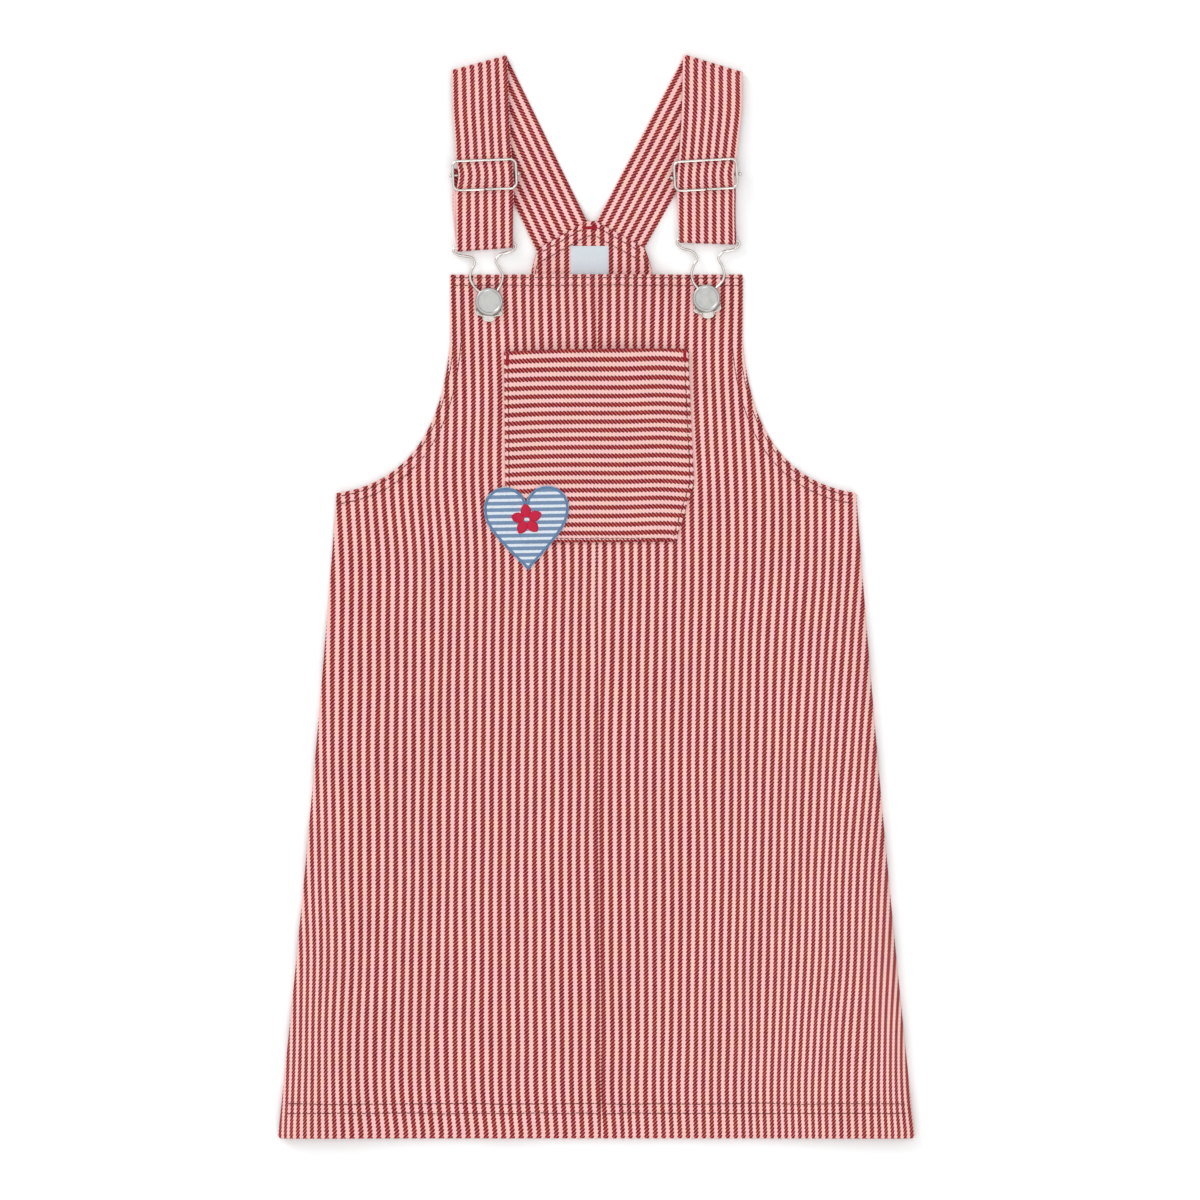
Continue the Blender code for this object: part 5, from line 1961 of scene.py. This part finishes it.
# ---- studio
@dataclass
class Studio:
    """Floor, soft light and camera straight above."""

    across: float = 744.0                     # width of the frame at the floor
    middle: tuple = (2.2, -2.3)
    camera_height: float = 6000.0
    sensor: float = 36.0
    zenith: float = 1.29
    horizon: float = 0.14
    lamps: tuple = (                          # name, strength, where from, degrees of softness
        ("low_lamp", 0.9, (-1.0, 1.0, 0.6), 24.0), ("fill_lamp", 0.4, (0.2, -1.0, 0.55), 20.0),
    )

    def build(self) -> None:
        """Builds everything that isn't the dress."""
        mesh = bpy.data.meshes.new("floor")
        half = 3.0
        level = -0.0002
        corners = [(-half, -half, level), (half, -half, level), (half, half, level), (-half, half, level)]
        mesh.from_pydata(corners, [], [(0, 1, 2, 3)])
        mesh.materials.append(FloorFinish().material("studio_paper"))
        floor = bpy.data.objects.new("floor", mesh)
        bpy.context.scene.collection.objects.link(floor)
        self.build_camera()
        self.build_light()

    def build_camera(self) -> None:
        """Camera looking straight down, +Y up in the frame."""
        data = bpy.data.cameras.new("camera")
        data.sensor_width = self.sensor
        data.lens = self.sensor * self.camera_height / self.across
        data.clip_start, data.clip_end = 0.1, 20.0
        camera = bpy.data.objects.new("camera", data)
        camera.location = (self.middle[0] * MM, self.middle[1] * MM, self.camera_height * MM)
        bpy.context.scene.collection.objects.link(camera)
        bpy.context.scene.camera = camera

    def build_light(self) -> None:
        """A pale dome, brightest overhead, and two low soft lamps."""
        world = bpy.data.worlds.new("dome")
        world.use_nodes = True
        bpy.context.scene.world = world
        tree = world.node_tree
        sky = tree.nodes["Background"]
        place = tree.nodes.new("ShaderNodeTexCoord")
        parts = tree.nodes.new("ShaderNodeSeparateXYZ")
        ramp = tree.nodes.new("ShaderNodeMapRange")
        ramp.inputs["To Min"].default_value = self.horizon
        ramp.inputs["To Max"].default_value = self.zenith
        tree.links.new(place.outputs["Generated"], parts.inputs[0])
        tree.links.new(parts.outputs[2], ramp.inputs["Value"])
        tree.links.new(ramp.outputs[0], sky.inputs["Strength"])
        sky.inputs["Color"].default_value = (1.0, 1.0, 1.0, 1.0)
        for name, power, way, spread in self.lamps:
            lamp_data = bpy.data.lights.new(name, "SUN")
            lamp_data.energy = power
            lamp_data.angle = math.radians(spread)
            lamp = bpy.data.objects.new(name, lamp_data)
            lamp.location = way
            lamp.rotation_euler = Vector(way).to_track_quat("Z", "Y").to_euler()
            bpy.context.scene.collection.objects.link(lamp)
        view = bpy.context.scene.view_settings
        view.view_transform = "Standard"
        view.look = "None"


# Places of the straps, sliders and hooks on each side; what they mean is said at the classes' fields.
STRAPS = {
    Side.LEFT: {
        "yoke": ((-3.8, 228.3), (-35.3, 209.8)),
        "fold": ((-55.2, 333.4), (-89.6, 324.0)),
        "leg": (
            (-54.0, 303.5, -89.0, 300.0, 3.55), (-53.1, 282.0, -87.6, 280.5, 3.90),
            (-52.3, 271.0, -87.1, 269.7, 4.33), (-51.5, 262.1, -85.4, 260.9, 6.2),
            (-51.0, 252.7, -86.8, 251.3, 4.33), (-51.6, 238.0, -86.8, 236.3, 4.4),
            (-51.8, 218.4, -86.7, 215.9, 4.45),
        ),
        "back_up": (
            (-52.2, 218.4, -86.9, 215.9, 0.95), (-53.2, 232.0, -88.4, 230.0, 1.2),
            (-53.8, 242.0, -88.9, 240.5, 2.55), (-53.8, 266.5, -88.9, 265.0, 2.55),
        ),
        "back_stripes": (0.035, 0.152),
        "leg_stripes": (0.044, 0.1485),
        "plumb": (-51.2, -86.8),
    },
    Side.RIGHT: {
        "yoke": ((-2.2, 228.3), (27.5, 211.7)),
        "fold": ((53.6, 334.0), (90.5, 322.8)),
        "leg": (
            (53.0, 303.0, 90.2, 300.0, 3.55), (52.1, 284.0, 88.3, 283.0, 3.90),
            (50.9, 269.0, 86.9, 271.0, 4.33), (50.2, 259.5, 85.3, 261.5, 6.2),
            (49.8, 251.3, 86.2, 253.2, 4.33), (50.4, 238.0, 86.2, 238.0, 4.4),
            (51.4, 221.5, 86.6, 220.3, 4.45),
        ),
        "back_up": (
            (51.6, 221.5, 86.9, 220.3, 0.95), (50.6, 233.0, 86.2, 233.0, 1.2),
            (49.9, 244.0, 85.6, 245.0, 2.55), (49.9, 260.5, 85.6, 262.5, 2.55),
        ),
        "back_stripes": (0.06, 0.149),
        "leg_stripes": (0.076, 0.1405),
        "plumb": (49.9, 86.2),
        "tight": 0.36,
    },
}
SLIDERS = {
    Side.LEFT: {
        "middle": (-69.3, 261.1), "width": 39.2, "tilt": 2.1, "bar": ((-90.4, 260.6), (-48.3, 261.9)),
    },
    Side.RIGHT: {
        "middle": (67.65, 261.05), "width": 38.7, "tilt": 3.1, "bar": ((46.8, 259.1), (89.0, 261.7)),
    },
}
HOOKS = {
    Side.LEFT: {
        "middle": (-66.5, 182.6), "turn": -2.0,
        "route": (
            (-71.6, 188.0), (-75.6, 191.6), (-78.3, 197.4), (-77.4, 202.2), (-75.4, 206.6),
            (-76.8, 209.5), (-81.4, 210.7), (-86.5, 211.9), (-88.6, 213.8), (-88.4, 215.2),
            (-87.0, 215.92), (-85.2, 216.05),
            (-53.3, 218.35), (-51.5, 218.48), (-50.2, 217.7), (-50.2, 216.2), (-52.2, 214.3), (-60.1, 211.3),
            (-62.4, 208.2), (-60.7, 204.2), (-58.1, 199.4), (-58.8, 194.4), (-61.8, 188.7),
        ),
    },
    Side.RIGHT: {
        "middle": (68.1, 184.6), "turn": 7.0,
        "route": (
            (63.1, 190.5), (60.1, 194.6), (58.9, 200.2), (60.4, 205.2), (62.4, 209.3), (60.1, 213.1),
            (52.1, 216.3), (50.0, 218.7), (50.1, 220.5), (51.3, 221.5), (53.1, 221.44), (85.8, 220.34),
            (87.5, 220.26), (88.7, 219.2), (88.4, 217.4), (86.6, 215.7), (77.6, 212.6), (75.6, 209.6),
            (77.8, 205.0), (79.2, 200.2), (78.2, 195.6), (73.6, 190.5),
        ),
    },
}


def main() -> None:
    """Builds the dress, piece by piece, and the studio."""
    logging.basicConfig(level=logging.INFO, format="%(message)s")
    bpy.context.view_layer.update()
    Studio().build()
    twill = TwillFinish()
    metal = MetalFinish()
    pewter = MetalFinish((0.50, 0.50, 0.485), (0.44, 0.44, 0.425), 0.36)
    blue_thread = ThreadFinish((0.085, 0.165, 0.32), (0.145, 0.245, 0.41), 2.4, 0.6)
    red_thread = ThreadFinish((0.46, 0.006, 0.033), (0.60, 0.014, 0.06), 1.0, 0.6)
    tack_thread = ThreadFinish((0.29, 0.004, 0.014), (0.40, 0.012, 0.03), 1.0, 0.75)
    BackPanel(twill).build()
    fronts = {side: FrontPanel(side, twill) for side in Side}
    for front in fronts.values():
        front.build()

    def front_height(x: Array, y: Array) -> Array:
        """Upper face of whichever front lies at each place."""
        left, right = fronts[Side.LEFT].height(x, y), fronts[Side.RIGHT].height(x, y)
        return np.where(x < FORM.seam_x(y), left, right)

    yoke = Yoke(twill, LabelFinish())
    yoke.build()
    pocket = Pocket(twill, front_height)
    pocket.build()

    def patch_base(x: Array, y: Array) -> Array:
        """Highest cloth below the heart.

        Args:
            x: Places across.
            y: Places along.

        Returns:
            The height at each place.
        """
        inside = np.minimum(x - pocket.edge_x(y, 0), pocket.edge_x(y, 1) - x)
        over = blend(np.minimum(inside, y - pocket.low[0][1]), -1.5, 0.6)
        on_pocket = pocket.height(x, np.maximum(y, pocket.low_y + 0.1)) + 0.05
        return mix(front_height(x, y), on_pocket, over) + 0.12

    Heart(StripedSatinFinish(), blue_thread, red_thread, patch_base).build()
    for side in Side:
        Strap(side, twill, **STRAPS[side]).build()
        Slider(side, metal, **SLIDERS[side]).build()
        Hook(side, metal, pewter, **HOOKS[side]).build()
    sewing = Sewing(ThreadFinish(), tack_thread)
    for side, front in fronts.items():
        name = "front_" + side.value + "_topstitching"
        sewing.sew(name, front.stitch_lines(), front.height, 300 + side.sign)
    sewing.sew("yoke_topstitching", yoke.stitch_lines(), yoke.height, 311)
    sewing.sew("pocket_topstitching", pocket.stitch_lines(), pocket.height, 313)
    for patch in (pocket, yoke):
        for name, ends, width in patch.tacks:
            sewing.tack(name, ends, patch.height, width)


if __name__ == "__main__":
    main()
